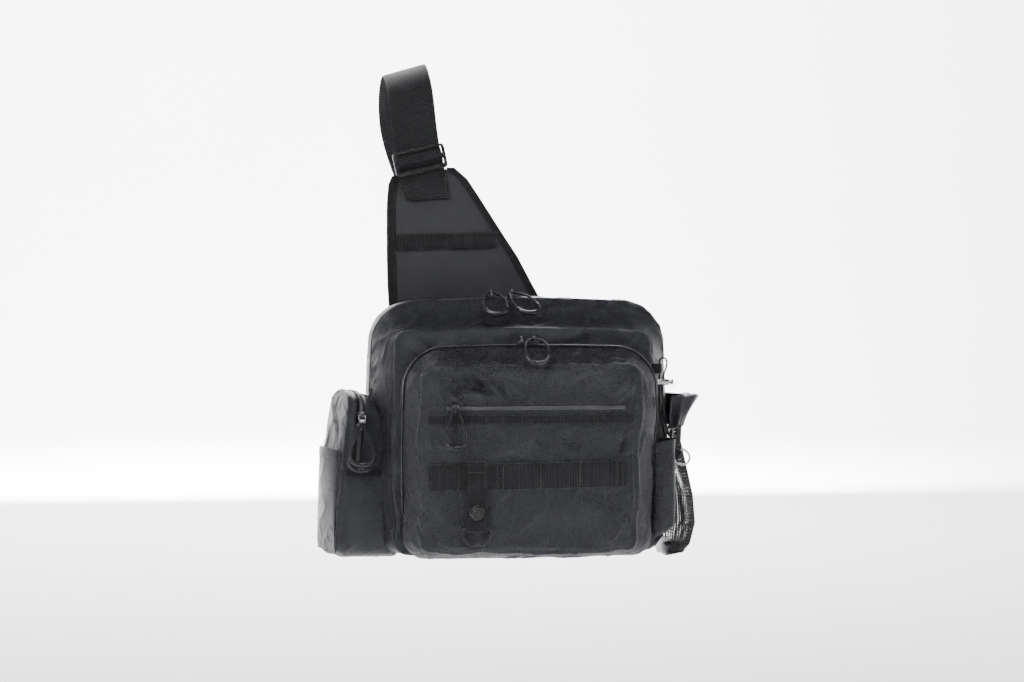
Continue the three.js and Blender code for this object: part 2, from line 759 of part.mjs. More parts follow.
// Side pocket's two sliders meet high on the gusset towards the viewer.
function sideGussetAt(height, lift) {
  const foot = side.place(-sideRear + sideDepth, height, sideZipDepth, 0);
  return vec(foot.x, foot.y - lift, height);
}
const upperSlider = sideGussetAt(sideTop - 27, 1.35);
const lowerSlider = sideGussetAt(sideTop - 27 - sliderLength - 3, 1.95);
addSlider('side_upper', upperSlider, xAxis, faceOut);
addSlider('side_lower', lowerSlider, xAxis, faceOut, xAxis, down, { length: pullLength + 4, bow: 3 });

// Metal ferrule hanging in the upper slider's eye, and a cord bow with both ends in it.
const ferrule = { width: 8, height: 11, thickness: 3, bar: 1.6, arm: 1.4, window: 3.6 };
function ferruleSolid() {
  const [half, top] = [ferrule.width / 2, ferrule.bar / 2];
  const outline = new THREE.Shape();
  outline.moveTo(-half, top);
  outline.lineTo(half, top);
  outline.lineTo(half - 0.5, top - ferrule.height);
  outline.lineTo(-half + 0.5, top - ferrule.height);
  const eye = new THREE.Path();
  eye.moveTo(-half + ferrule.arm, -top);
  eye.lineTo(-half + ferrule.arm, -top - ferrule.window);
  eye.lineTo(half - ferrule.arm, -top - ferrule.window);
  eye.lineTo(half - ferrule.arm, -top);
  outline.holes.push(eye);
  const geometry = new THREE.ExtrudeGeometry(outline, { depth: ferrule.bar, bevelEnabled: false });
  geometry.translate(0, 0, -ferrule.bar / 2);
  geometry.rotateX(Math.PI / 2);
  const clamp = box(
    vec(-half + 0.5, -ferrule.thickness / 2, top - ferrule.height),
    vec(half - 0.5, ferrule.thickness / 2, -top - ferrule.window - 0.5),
  );
  return solidOf(geometry).add(clamp);
}
const ferruleAt = upperSlider.clone()
  .addScaledVector(faceOut, 3 * gap + eyeHeight).addScaledVector(down, 2 * gap);
const ferruleLean = 36;
const leanHang = down.clone().applyAxisAngle(xAxis, THREE.MathUtils.degToRad(-ferruleLean));
const leaning = ferruleSolid().rotate([-ferruleLean, 0, 0]).translate(ferruleAt.toArray());
addPiece('side_ferrule', leaning, silver);
const bowTop = ferruleAt.clone().addScaledVector(leanHang, ferrule.height - ferrule.bar / 2 + 3 * gap);
const bowRows = [[0.14, 0], [0.2, 0.12], [0.52, 0.32], [0.9, 0.56], [1, 0.74], [0.86, 0.9], [0.46, 0.985]];
const bowHalf = (pullWidth - gripDiameter) / 2;
const bowFall = pullLength - gripDiameter / 2;
const bowSwell = 3;
const bowPoint = ([x, z]) => bowTop.clone()
  .add(vec(x * bowHalf, -bowSwell * Math.sin(Math.PI / 2 * z), -z * bowFall));
const bowCurve = new THREE.CatmullRomCurve3([
  ...bowRows.map(bowPoint), bowPoint([0, 1]), ...bowRows.slice().reverse().map(([x, z]) => bowPoint([-x, z])),
], false, 'centripetal');
addPiece('side_upper_pull_cord', tube(bowCurve, pullSteps, cordDiameter, 6), cordCover);
const bowMiddle = [0.33, 0.41, 0.5, 0.59, 0.67].map((u) => bowCurve.getPointAt(u));
const bowSleeve = tube(new THREE.CatmullRomCurve3(bowMiddle), 5, gripDiameter, 6);
const bowBore = tube(bowCurve, pullSteps, cordDiameter + 2 * gap, 6);
addPiece('side_upper_pull_grip', bowSleeve.subtract(bowBore), mouldedGrip);

// Slip pocket on the side pocket's outer panel, open at its top hem.
const slip = {
  left: side.left + 4,
  width: sideDepth - 8,
  base: sideBase + 4,
  height: slipRise,
  depth: slipBulge,
  bulge: 3,
  folds: [],
  corners: smallCorners,
  handed: true,
  rows: [
    { depth: 0 },
    { depth: 0.8 },
    { depth: 1, reach: 0.93 },
    { depth: 1, reach: 0.4 },
  ],
  limits(depth, grow) {
    const round = 4 * depth * depth;
    const above = grow < 0 ? 6 * slipWall : 0;
    return {
      left: slip.left + round - grow,
      right: slip.left + slip.width - round + grow,
      top: slip.base + slip.height + above,
      base: slip.base + round - grow,
      topRadius: 2,
      baseRadius: sideRadius - 8 - round + grow,
      camber: 0.5,
    };
  },
  place: (a, b, depth, lift) => side.place(a, b, 1, depth * (slipBulge + 6) - 6 + lift),
};
const slipShell = formSolid(slip).subtract(formSolid(slip, -slipWall, 4 * slipWall)).subtract(sideGrown);
addPiece('slip_pocket', slipShell, pocketCloth);

// Tape across the foot of the side zip
const tapeHeight = 10;
const sideZipEnd = sideZipStations[sideZipStations.length - 1].at.z;
const tapeTop = sideZipEnd - 3 * gap;
const tape = box(
  vec(bodyLeft - sideReach - sideYaw, sideRear - sideDepth - 3.4, tapeTop - tapeHeight),
  vec(bodyLeft + bodySideBevel, sideRear - sideDepth + 3, tapeTop),
);
const tapeLeft = side.place(-sideRear + sideDepth, sideZipEnd, 0.94, 0).x;
const tapeRoom = box(
  vec(tapeLeft, -bodyDepth - 3 * backOffset, tapeTop - tapeHeight),
  vec(bodyLeft + bodySideBevel, 0, tapeTop),
);
addPiece('side_zip_end', tape.intersect(tapeRoom).subtract(sideGrown).subtract(bodyGrown), webbing);

// Net bottle pocket and its gathered collar on the right side

const netBase = bodyBase - 5;
const netMid = bodyBack - 3 - netDepth / 2;
const netRoot = bodyRight - 14;
const netRows = [
  { rise: 0, reach: 0.2, spread: 0.6 },
  { rise: 0.02, reach: 0.62, spread: 0.86 },
  { rise: 0.08, reach: 0.84, spread: 0.96 },
  { rise: 0.24, reach: 1, spread: 1 },
  { rise: 0.46, reach: 0.93, spread: 1 },
  { rise: 0.68, reach: 0.74, spread: 0.96 },
  { rise: 0.88, reach: 0.56, spread: 0.9 },
  { rise: 1, reach: 0.58, spread: 0.9 },
];
const collarRows = [
  { rise: 0, reach: 0.6, spread: 0.9 },
  { rise: 0.5, reach: 0.84, spread: 0.95 },
  { rise: 1, reach: 1.08, spread: 1 },
];

// D-shaped ring round the right side at one height.
function bellyRing({ reach, spread }, z, grow) {
  const steps = 12;
  const points = [vec(netRoot, netMid + netDepth / 2 * spread + grow, z)];
  for (let i = 0; i <= steps; i += 1) {
    const angle = Math.PI * i / steps;
    const out = Math.pow(Math.sin(angle), 0.7) * (netReach * reach + grow);
    points.push(vec(bodyRight + out, netMid + Math.cos(angle) * (netDepth / 2 * spread + grow), z));
  }
  points.push(vec(netRoot, netMid - netDepth / 2 * spread - grow, z));
  return points;
}

function belly(rows, base, height, wall, closedBase) {
  const outer = skin(rows.map((row) => bellyRing(row, base + row.rise * height, 0)));
  const inner = rows.map((row) => bellyRing(row, base + row.rise * height, -wall));
  const shift = closedBase ? wall : -1;
  inner[0].forEach((p) => { p.z += shift; });
  inner[inner.length - 1].forEach((p) => { p.z += 1; });
  inner.forEach((ring) => { ring[0].x -= 2; ring[ring.length - 1].x -= 2; });
  if (closedBase) {
    inner[1].forEach((p) => { p.z = Math.max(p.z, base + 1.5 * wall); });
  }
  return outer.subtract(skin(inner)).subtract(bodyGrown);
}
const collarBase = netBase + netHeight + gap;
addPiece('bottle_collar', belly(collarRows, collarBase, collarHeight, collarWall, false), nylon);

// Tool sheath on the right front edge, open at the top

const sheathLeft = pocketLeft + pocketWidth - pocketSqueeze + 3;
const sheathFront = bodyFront - 5;
const sheathBase = sheathTop - sheathHeight;
function sheathSolid(grow, above) {
  const rise = [0, 0.04, 0.3, 0.62, 1];
  const swell = [-2.5, 0, 1.2, 0.8, 0];
  return skin(rise.map((share, i) => roundedOutline({
    left: sheathLeft - grow,
    right: sheathLeft + sheathWidth + swell[i] + grow,
    base: sheathFront - swell[i] - grow,
    top: sheathFront + 2 * sheathDepth + grow,
    topRadius: 4 + grow,
    baseRadius: 6 + grow,
    camber: 0,
  }, smallCorners).map(([x, y]) => {
    const slant = (x - sheathLeft) / sheathWidth * lerp(11, 4, share);
    return vec(x, y, lerp(sheathBase - grow, sheathTop + above, share) + slant);
  })));
}
const sheathGrown = sheathSolid(gap, gap);
const sheath = sheathSolid(0, 0).subtract(sheathSolid(-sheathWall, 2))
  .subtract(bodyGrown).subtract(pocketGrown);
addPiece('tool_sheath', sheath, pocketCloth);
addPiece('bottle_net', belly(netRows, netBase, netHeight, netWall, true).subtract(sheathGrown), net);

// Drawcord of the collar: up through the lock, over and down again beside itself

const lockAt = vec(sheathLeft + 14, bodyFront + 7, bodyTop - 84);
const cordLeft = lockAt.x - 4;
const cordRight = cordLeft + drawcordDiameter + 1.6;
const cordFoot = collarBase - 10;
const loopRadius = 2 * drawcordDiameter;
const loopCentre = vec(cordLeft + loopRadius, lockAt.y, lockAt.z + 21);
const loopTurns = 6;
const loopBend = [];
for (let i = 0; i <= loopTurns; i += 1) {
  const angle = Math.PI * (1 - i / loopTurns);
  loopBend.push(loopCentre.clone().add(vec(Math.cos(angle), 0, Math.sin(angle)).multiplyScalar(loopRadius)));
}
const drawcordPoints = [
  vec(cordLeft + 9, lockAt.y + 13, cordFoot),
  vec(cordLeft + 5, lockAt.y + 8, cordFoot + 12),
  vec(cordLeft + 1, lockAt.y + 2, cordFoot + 28),
  vec(cordLeft, lockAt.y, lockAt.z - 12),
  vec(cordLeft, lockAt.y, lockAt.z),
  vec(cordLeft, lockAt.y, lockAt.z + 10),
  ...loopBend,
  vec(cordRight + 3.8, lockAt.y, lockAt.z + 15.5),
  vec(cordRight + 1.4, lockAt.y, lockAt.z + 8.5),
  vec(cordRight, lockAt.y, lockAt.z),
  vec(cordRight, lockAt.y, lockAt.z - 12),
  vec(cordRight + 1.6, lockAt.y + 2, cordFoot + 28),
  vec(cordRight + 5.6, lockAt.y + 8, cordFoot + 12),
  vec(cordRight + 9.2, lockAt.y + 13, cordFoot + 1),
];
const drawcord = new THREE.CatmullRomCurve3(drawcordPoints, false, 'centripetal');
addPiece('drawcord', tube(drawcord, 50, drawcordDiameter, 6), cordCover);

function barrel(length, diameter) {
  const geometry = new THREE.CylinderGeometry(diameter / 2, diameter / 2, length, 16);
  geometry.rotateZ(Math.PI / 2);
  return solidOf(geometry);
}
const bore = 4;
const boreDepth = 5;
const lockRight = lockAt.x + lockLength / 2;
const cordSlot = box(
  vec(cordLeft - drawcordDiameter / 2 - gap, lockAt.y - drawcordDiameter / 2 - gap, lockAt.z - lockDiameter),
  vec(cordRight + drawcordDiameter / 2 + gap, lockAt.y + drawcordDiameter / 2 + gap, lockAt.z + lockDiameter),
);
const lockBody = barrel(lockLength, lockDiameter).translate(lockAt.toArray())
  .subtract(barrel(2 * boreDepth, bore).translate([lockRight, lockAt.y, lockAt.z]))
  .subtract(cordSlot);
addPiece('cord_lock', lockBody, silver);
const headThickness = 2.2;
const headLeft = lockRight + buttonTravel + gap;
const button = barrel(headThickness, buttonDiameter)
  .translate([headLeft + headThickness / 2, lockAt.y, lockAt.z])
  .add(barrel(boreDepth, bore - 2 * gap)
    .translate([headLeft + gap - boreDepth / 2, lockAt.y, lockAt.z]));
addPiece('lock_button', button, silver);

// Webbing tab folded round an upright run of cord or a ring's bar.
function foldedTab({ bar, barAxis, away, reach, width, hole, thickness }) {
  const lift = barAxis.clone().cross(away).normalize();
  const turns = 6;
  const inner = hole / 2 + gap;
  const path = [bar.clone().addScaledVector(away, -reach).addScaledVector(lift, inner)];
  for (let i = 0; i <= turns; i += 1) {
    const angle = Math.PI / 2 - Math.PI * i / turns;
    path.push(bar.clone()
      .addScaledVector(away, inner * Math.cos(angle)).addScaledVector(lift, inner * Math.sin(angle)));
  }
  path.push(bar.clone().addScaledVector(away, -reach).addScaledVector(lift, -inner));
  const stations = path.map((at, i) => {
    const along = path[Math.min(i + 1, path.length - 1)].clone().sub(path[Math.max(i - 1, 0)]).normalize();
    return { at, across: barAxis, out: barAxis.clone().cross(along).normalize() };
  });
  return sweep(stations, flatSection(width, thickness));
}
const cordTab = foldedTab({
  bar: vec(cordLeft, lockAt.y, lockAt.z + 14),
  barAxis: vec(0, 0, 1),
  away: vec(0.94, -0.34, 0),
  reach: 14,
  width: 10,
  hole: drawcordDiameter,
  thickness: tabThickness,
});
addPiece('cord_tab', cordTab.subtract(bodyGrown).subtract(pocketGrown), webbing);

// Side ring in its tab, between the sheath and the net

const sideRingAt = vec(sheathLeft + sheathWidth + 7, bodyFront + 17, sheathTop - 14);
const sideBarAxis = vec(0.49, 0, 0.872).normalize();
const sideHang = vec(sideBarAxis.z, 0, -sideBarAxis.x);
const ringBasis = new THREE.Matrix4().makeBasis(sideBarAxis, vec(0, 1, 0), sideHang.clone().negate());
const sideLoop = loopTube(ringCurve(sideRingWidth, sideRingDrop, sideRingWire), 20, sideRingWire, 6);
const sideRing = addPiece('side_ring', sideLoop, silver);
sideRing.quaternion.setFromRotationMatrix(ringBasis);
sideRing.position.copy(sideRingAt);
const ringTab = foldedTab({
  bar: sideRingAt,
  barAxis: sideBarAxis,
  away: sideHang,
  reach: 17,
  width: 11,
  hole: sideRingWire,
  thickness: tabThickness,
});
addPiece('side_ring_tab', ringTab.subtract(bodyGrown).subtract(sheathGrown), webbing);

// Shoulder panel: padded triangle rising from the top back seam

const panelTuck = 14;
const panelFoot = bodyTop - panelTuck;
const panelLength = panelHeight + panelTuck;
const panelLeft = bodyLeft + 24;
const panelEdgeThickness = panelThickness / 2;
// Rows by height: both edges as shares of the base width, and the slope of the row in mm.
const panelRows = [
  { rise: 0, left: 0, right: 1.03, tilt: 0 },
  { rise: 0.093, left: -0.006, right: 1.01, tilt: 0 },
  { rise: 0.2, left: -0.012, right: 0.955, tilt: 0 },
  { rise: 0.4, left: -0.015, right: 0.856, tilt: 0 },
  { rise: 0.573, left: -0.015, right: 0.75, tilt: 0 },
  { rise: 0.787, left: -0.012, right: 0.62, tilt: 2 },
  { rise: 0.93, left: 0, right: 0.525, tilt: 6 },
  { rise: 1, left: 0.025, right: 0.44, tilt: 9 },
];
const panelFrontAt = (z) => bodyBack + bindingThickness + 2 * gap
  + panelLean * Math.pow((z - panelFoot) / panelLength, 2);

// Pillowed section with flat margins where the binding grips it.
function panelRing(row, inset) {
  const left = panelLeft + panelBaseWidth * row.left + inset;
  const right = panelLeft + panelBaseWidth * row.right - inset;
  const shares = [0, 0.25, 0.5, 0.75, 1];
  const columns = [left, ...shares.map((k) => lerp(left + bindingWidth, right - bindingWidth, k)), right];
  const height = (x) => panelFoot + row.rise * panelLength + row.tilt * ((x - left) / (right - left) - 0.5);
  const fat = (i) => {
    const swell = i < columns.length - 1 ? Math.sin(Math.PI * Math.max(0, i - 1) / 4) : 0;
    return lerp(panelEdgeThickness, panelThickness, swell);
  };
  const front = columns.map((x) => vec(x, panelFrontAt(height(x)), height(x)));
  const back = columns.map((x, i) => vec(x, panelFrontAt(height(x)) + fat(i), height(x)));
  return [...front, ...back.reverse()];
}
addPiece('shoulder_panel', skin(panelRows.map((row) => panelRing(row, bindingThickness + gap))), nylon);

// Tape folded round one slanted edge of the panel.
function binding(key, sign, grow = 0) {
  const stations = panelRows.map((row) => {
    const z = panelFoot + row.rise * panelLength + row.tilt * sign * -0.5;
    const x = panelLeft + panelBaseWidth * row[key];
    return { at: vec(x, panelFrontAt(z), z), across: vec(sign, 0, 0), out: vec(0, -1, 0) };
  });
  const back = -panelEdgeThickness - gap;
  const lap = bindingWidth - 1;
  return sweep(stations, [
    [-grow, back - bindingThickness - grow], [lap + grow, back - bindingThickness - grow],
    [lap + grow, back + grow], [bindingThickness + grow, back + grow],
    [bindingThickness + grow, gap - grow], [lap + grow, gap - grow],
    [lap + grow, gap + bindingThickness + grow], [-grow, gap + bindingThickness + grow],
  ]);
}
addPiece('panel_binding_left', binding('left', 1), tapeBinding);
addPiece('panel_binding_right', binding('right', -1), tapeBinding);

// Webbing sewn across the panel, its ends under the bindings
const bandRise = 0.51;
const bandSlope = 4;
function betweenBindings() {
  const inset = bindingWidth + gap;
  return skin(panelRows.map((row) => {
    const [left, right] = [row.left, row.right].map((share) => panelLeft + panelBaseWidth * share);
    const z = panelFoot + row.rise * panelLength;
    return [
      vec(left + inset, 2 * bodyBack, z), vec(right - inset, 2 * bodyBack, z),
      vec(right - inset, 0, z), vec(left + inset, 0, z),
    ];
  }));
}
function panelBand() {
  const stations = [0, 0.25, 0.5, 0.75, 1].map((share) => {
    const z = panelFoot + bandRise * panelLength + bandSlope * (share - 0.5);
    const up = vec(0, panelFrontAt(z + 1) - panelFrontAt(z), 1).normalize();
    const x = panelLeft + panelBaseWidth * share;
    return { at: vec(x, panelFrontAt(z), z), across: up, out: xAxis.clone().cross(up) };
  });
  return sweep(stations, flatSection(bandWidth, bandThickness, gap)).intersect(betweenBindings());
}
addPiece('panel_band', panelBand(), webbing);

// Three-bar buckle, tilted in the panel's plane

const glideTilt = THREE.MathUtils.degToRad(12.4);
const glideU = vec(Math.cos(glideTilt), 0, Math.sin(glideTilt));
const glideV = vec(-Math.sin(glideTilt), 0, Math.cos(glideTilt));
const weaveLift = glideThickness / 2 + strapThickness / 2 + 1;
const glideZ = bodyTop + panelHeight + 12;
const patchLift = 2 * gap + bindingThickness + strapThickness / 2;
const glideY = panelFrontAt(glideZ - glideHeight) - patchLift - weaveLift;
const glideAt = vec(panelLeft + 33, glideY, glideZ);
const glideWidth = strapWidth + 2 * glideWire + 4 * gap;
const glideTopBar = 2.5;
const glideBaseBar = 5;
const glideMidBar = 3.5;

function roundedPath(target, [x0, y0, x1, y1], radius) {
  target.moveTo(x0 + radius, y0);
  target.lineTo(x1 - radius, y0);
  target.quadraticCurveTo(x1, y0, x1, y0 + radius);
  target.lineTo(x1, y1 - radius);
  target.quadraticCurveTo(x1, y1, x1 - radius, y1);
  target.lineTo(x0 + radius, y1);
  target.quadraticCurveTo(x0, y1, x0, y1 - radius);
  target.lineTo(x0, y0 + radius);
  target.quadraticCurveTo(x0, y0, x0 + radius, y0);
  return target;
}

function glideSolid() {
  const [w, h] = [glideWidth / 2, glideHeight / 2];
  const plate = roundedPath(new THREE.Shape(), [-w, -h, w, h], 4);
  const inner = w - glideWire;
  plate.holes.push(roundedPath(new THREE.Path(), [-inner, glideMidBar / 2, inner, h - glideTopBar], 1.5));
  plate.holes.push(roundedPath(new THREE.Path(), [-inner, -h + glideBaseBar, inner, -glideMidBar / 2], 1.5));
  const geometry = new THREE.ExtrudeGeometry(plate, {
    depth: glideThickness, bevelEnabled: false, curveSegments: 3,
  });
  geometry.translate(0, 0, -glideThickness / 2);
  return solidOf(geometry);
}
const glide = addPiece('tri_glide', glideSolid(), silver);
glide.quaternion.setFromRotationMatrix(new THREE.Matrix4().makeBasis(glideU, glideV, faceOut));
glide.position.copy(glideAt);

// Shoulder strap: sewn patch, weave through the buckle, over the shoulder, across the chest
// and round to the bag's lower right corner

const patchTop = glideHeight / 2;
const weave = [
  { v: -glideHeight / 2, lift: -weaveLift },
  { v: -glideHeight / 2 + glideBaseBar - 0.5, lift: -weaveLift },
  { v: -glideMidBar / 2 + 0.3, lift: weaveLift },
  { v: glideMidBar / 2 - 0.3, lift: weaveLift },
  { v: glideHeight / 2 - glideTopBar - 0.5, lift: -weaveLift },
  { v: glideHeight / 2 + 1, lift: -weaveLift },
];
const patchRows = [
  { below: patchTop + patchLength, turn: 0.06 },
  { below: patchTop + 0.5 * patchLength, turn: 0.14 },
];
const patchStations = patchRows.map(({ below, turn }) => {
  const at = glideAt.clone().addScaledVector(glideV, -below);
  const across = vec(Math.cos(turn), 0, Math.sin(turn));
  at.y = panelFrontAt(at.z - strapWidth / 2 * across.z) - patchLift;
  return { at, across, out: faceOut };
});
const weaveStations = weave.map(({ v, lift }) => ({
  at: glideAt.clone().addScaledVector(glideV, v).addScaledVector(faceOut, lift), across: glideU, out: faceOut,
}));
// Middle of the strap: place, and the direction that faces away from the wearer.
const strapRows = [
  [[14, -58, -60], [-0.05, -0.95, 0.3]],
  [[11, -40, -20], [-0.2, -0.7, 0.68]],
  [[8, 0, 3], [-0.28, 0, 0.96]],
  [[8, 42, -22], [-0.15, 0.7, 0.7]],
  [[14, 72, -62], [0, 0.95, 0.3]],
  [[40, 110, -125], [-0.05, 0.97, 0.25]],
  [[80, 142, -195], [0, 1, 0.15]],
  [[130, 158, -265], [0, 1, 0]],
  [[190, 150, -330], [0.25, 0.97, 0]],
  [[250, 112, -385], [0.6, 0.8, 0]],
  [[bodyRight + 22, 55, -424], [0.92, 0.38, 0]],
  [[bodyRight + 35, 2, -440], [1, 0, 0]],
  [[bodyRight + 29, -29, -447], [0.93, -0.37, 0]],
];
const anchorPoints = [[9, 0], [22, 0.3], [31, 6], [40, 18]];
const anchorRise = 51;
const anchorZ = bodyBase + anchorRise;
const anchorRows = anchorPoints.map(([x, y]) => (
  vec(bodyRight - strapWidth / 2 + x, bodyBack + gap + anchorThickness / 2 + y, anchorZ)
));
const anchorOut = vec(0.8, -0.6, 0);
const lapLift = anchorThickness / 2 + gap + strapThickness / 2;
const lapEnd = [3, 2].map((i) => anchorRows[i].clone().addScaledVector(anchorOut, -lapLift));
const loosePoints = [
  weaveStations[weaveStations.length - 1].at,
  ...strapRows.map(([at]) => vec(...at)),
  ...lapEnd,
];
const looseOut = [faceOut, ...strapRows.map(([, out]) => vec(...out)), anchorOut, anchorOut];
const looseCurve = new THREE.CatmullRomCurve3(loosePoints, false, 'centripetal');
const looseSteps = 3;
const looseStations = [];
const segments = loosePoints.length - 1;
for (let i = 1; i <= segments * looseSteps; i += 1) {
  const t = i / (segments * looseSteps);
  const slot = Math.min(segments - 1, Math.floor(t * segments));
  const wanted = looseOut[slot].clone().lerp(looseOut[slot + 1], t * segments - slot).normalize();
  const along = looseCurve.getTangent(t);
  const across = wanted.cross(along).negate().normalize();
  looseStations.push({ at: looseCurve.getPoint(t), across, out: along.cross(across).negate().normalize() });
}
const strapStations = [...patchStations, ...weaveStations, ...looseStations];
const strapSection = flatSection(strapWidth, strapThickness, -strapThickness / 2);
addPiece('shoulder_strap', sweep(strapStations, strapSection), webbing);

const anchorStations = anchorRows.map((at, i) => {
  const along = anchorRows[Math.min(i + 1, 3)].clone().sub(anchorRows[Math.max(i - 1, 0)]).normalize();
  return { at, across: vec(0, 0, 1), out: along.cross(vec(0, 0, 1)) };
});
const anchorWidth = strapWidth + 8;
const anchorSolid = sweep(anchorStations, flatSection(anchorWidth, anchorThickness, -anchorThickness / 2));
addPiece('strap_anchor', anchorSolid, nylon);

export default group;
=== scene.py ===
import bmesh
import bpy
import math
import numpy as np
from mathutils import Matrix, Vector


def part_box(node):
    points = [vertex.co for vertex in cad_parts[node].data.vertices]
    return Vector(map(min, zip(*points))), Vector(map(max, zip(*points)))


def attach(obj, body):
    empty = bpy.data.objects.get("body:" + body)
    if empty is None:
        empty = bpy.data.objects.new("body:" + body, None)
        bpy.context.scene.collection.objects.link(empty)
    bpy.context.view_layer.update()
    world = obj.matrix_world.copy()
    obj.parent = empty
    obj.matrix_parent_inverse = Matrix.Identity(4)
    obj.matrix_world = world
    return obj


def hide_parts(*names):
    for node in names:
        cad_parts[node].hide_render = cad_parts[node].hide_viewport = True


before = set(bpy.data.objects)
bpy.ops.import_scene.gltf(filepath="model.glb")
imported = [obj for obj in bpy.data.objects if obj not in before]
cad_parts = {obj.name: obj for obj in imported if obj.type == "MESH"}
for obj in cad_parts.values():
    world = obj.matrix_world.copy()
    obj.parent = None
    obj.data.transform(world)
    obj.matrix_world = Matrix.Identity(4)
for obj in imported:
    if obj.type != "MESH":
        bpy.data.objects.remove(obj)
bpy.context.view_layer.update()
mm = 0.001
sewGap = 0.3
print("frame loaded")

# Sizes below are in millimetres, x to the right seen from behind, y into the wearer's back, z up.

view = {"from": (-274.7, -3047.5, -183.2), "target": (116.65, -75, -287.9), "lens": 99.1}


def makeCamera():
    data = bpy.data.cameras.new("photoView")
    data.lens = view["lens"]
    data.clip_end = 40
    camera = bpy.data.objects.new("photoView", data)
    start, target = Vector(view["from"]) * mm, Vector(view["target"]) * mm
    camera.location = start
    camera.rotation_euler = (target - start).to_track_quat("-Z", "Y").to_euler()
    bpy.context.scene.collection.objects.link(camera)
    bpy.context.scene.camera = camera


# Numbers and curves

def unit(v):
    return v / np.maximum(np.linalg.norm(v, axis=-1, keepdims=True), 1e-9)


def ease(t, low, high):
    # 3t^2 - 2t^3 between low and high, 0 before and 1 after
    s = np.clip((t - low) / (high - low), 0, 1)
    return s * s * (3 - 2 * s)


def softNoise(flat, size, seed):
    # Lattice values from -1 to 1, blended by 3t^2 - 2t^3 in both directions of a turned grid
    turn = 0.6 + seed
    c, n = math.cos(turn), math.sin(turn)
    p = flat @ np.array([[c, n], [-n, c]]) / size + seed * 17.3
    cell = np.floor(p)
    f = p - cell
    f = f * f * (3 - 2 * f)

    def corner(i, j):
        v = np.sin((cell[..., 0] + i) * 127.1 + (cell[..., 1] + j) * 311.7 + seed * 7.7) * 43758.5453
        return 2 * (v - np.floor(v)) - 1
    low = corner(0, 0) + (corner(1, 0) - corner(0, 0)) * f[..., 0]
    high = corner(0, 1) + (corner(1, 1) - corner(0, 1)) * f[..., 0]
    return low + (high - low) * f[..., 1]


def centripetal(points, count, loop=False):
    # Cubic through the points: each slope comes from the square roots of the distances beside it
    p = np.asarray(points, float)
    n = len(p)
    spans = n if loop else n - 1
    at = np.linspace(0, spans, count, endpoint=not loop)
    k = np.minimum(at.astype(int), spans - 1)
    w = (at - k)[:, None]
    if loop:
        a, b, c, d = (p[(k + i) % n] for i in (-1, 0, 1, 2))
    else:
        q = np.vstack([2 * p[0] - p[1], p, 2 * p[-1] - p[-2]])
        a, b, c, d = (q[k + i] for i in (0, 1, 2, 3))
    g0, g1, g2 = (np.sqrt(np.linalg.norm(t - s, axis=1))[:, None] + 1e-9 for s, t in ((a, b), (b, c), (c, d)))
    m1 = ((b - a) / g0 - (c - a) / (g0 + g1) + (c - b) / g1) * g1
    m2 = ((c - b) / g1 - (d - b) / (g1 + g2) + (d - c) / g2) * g1
    return b + m1 * w + (3 * (c - b) - 2 * m1 - m2) * w ** 2 + (2 * (b - c) + m1 + m2) * w ** 3


def distances(path):
    return np.concatenate([[0], np.cumsum(np.linalg.norm(np.diff(path, axis=0), axis=1))])


def evenly(path, count, *others):
    # The path and the arrays carried with it, at equal distances along it
    d = distances(path)
    at = np.linspace(0, d[-1], count)
    moved = [np.stack([np.interp(at, d, v[:, k]) for k in range(3)], 1) for v in (path, *others)]
    return moved if others else moved[0]


# Meshes

def gridFaces(rows, cols, loopRows, loopCols):
    i, j = np.meshgrid(np.arange(rows - (not loopRows)), np.arange(cols - (not loopCols)), indexing="ij")
    steps = ((0, 0), (0, 1), (1, 1), (1, 0))
    faces = np.stack([((i + a) % rows) * cols + (j + b) % cols for a, b in steps], -1).reshape(-1, 4)
    place = np.stack([np.stack([i + a, j + b], -1) for a, b in steps], -2).reshape(-1, 2)
    return faces, place


def outwards(points, faces):
    # Six times the volume under the faces, from the products a . (b x c)
    a, b, c, d = (points[faces[:, k]] for k in range(4))
    return np.sum(a * np.cross(b, c)) + np.sum(a * np.cross(c, d)) > 0


def addPiece(name, points, faces, uv, finish, nodes=(), body="bag"):
    mesh = bpy.data.meshes.new(name)
    mesh.from_pydata((np.asarray(points) * mm).tolist(), [], faces)
    mesh.uv_layers.new(name="cloth").data.foreach_set("uv", np.asarray(uv, float).ravel())
    mesh.shade_smooth()
    mesh.materials.append(finish)
    piece = bpy.data.objects.new(name, mesh)
    bpy.context.scene.collection.objects.link(piece)
    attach(piece, body)
    if nodes:
        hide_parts(*nodes)
    return piece


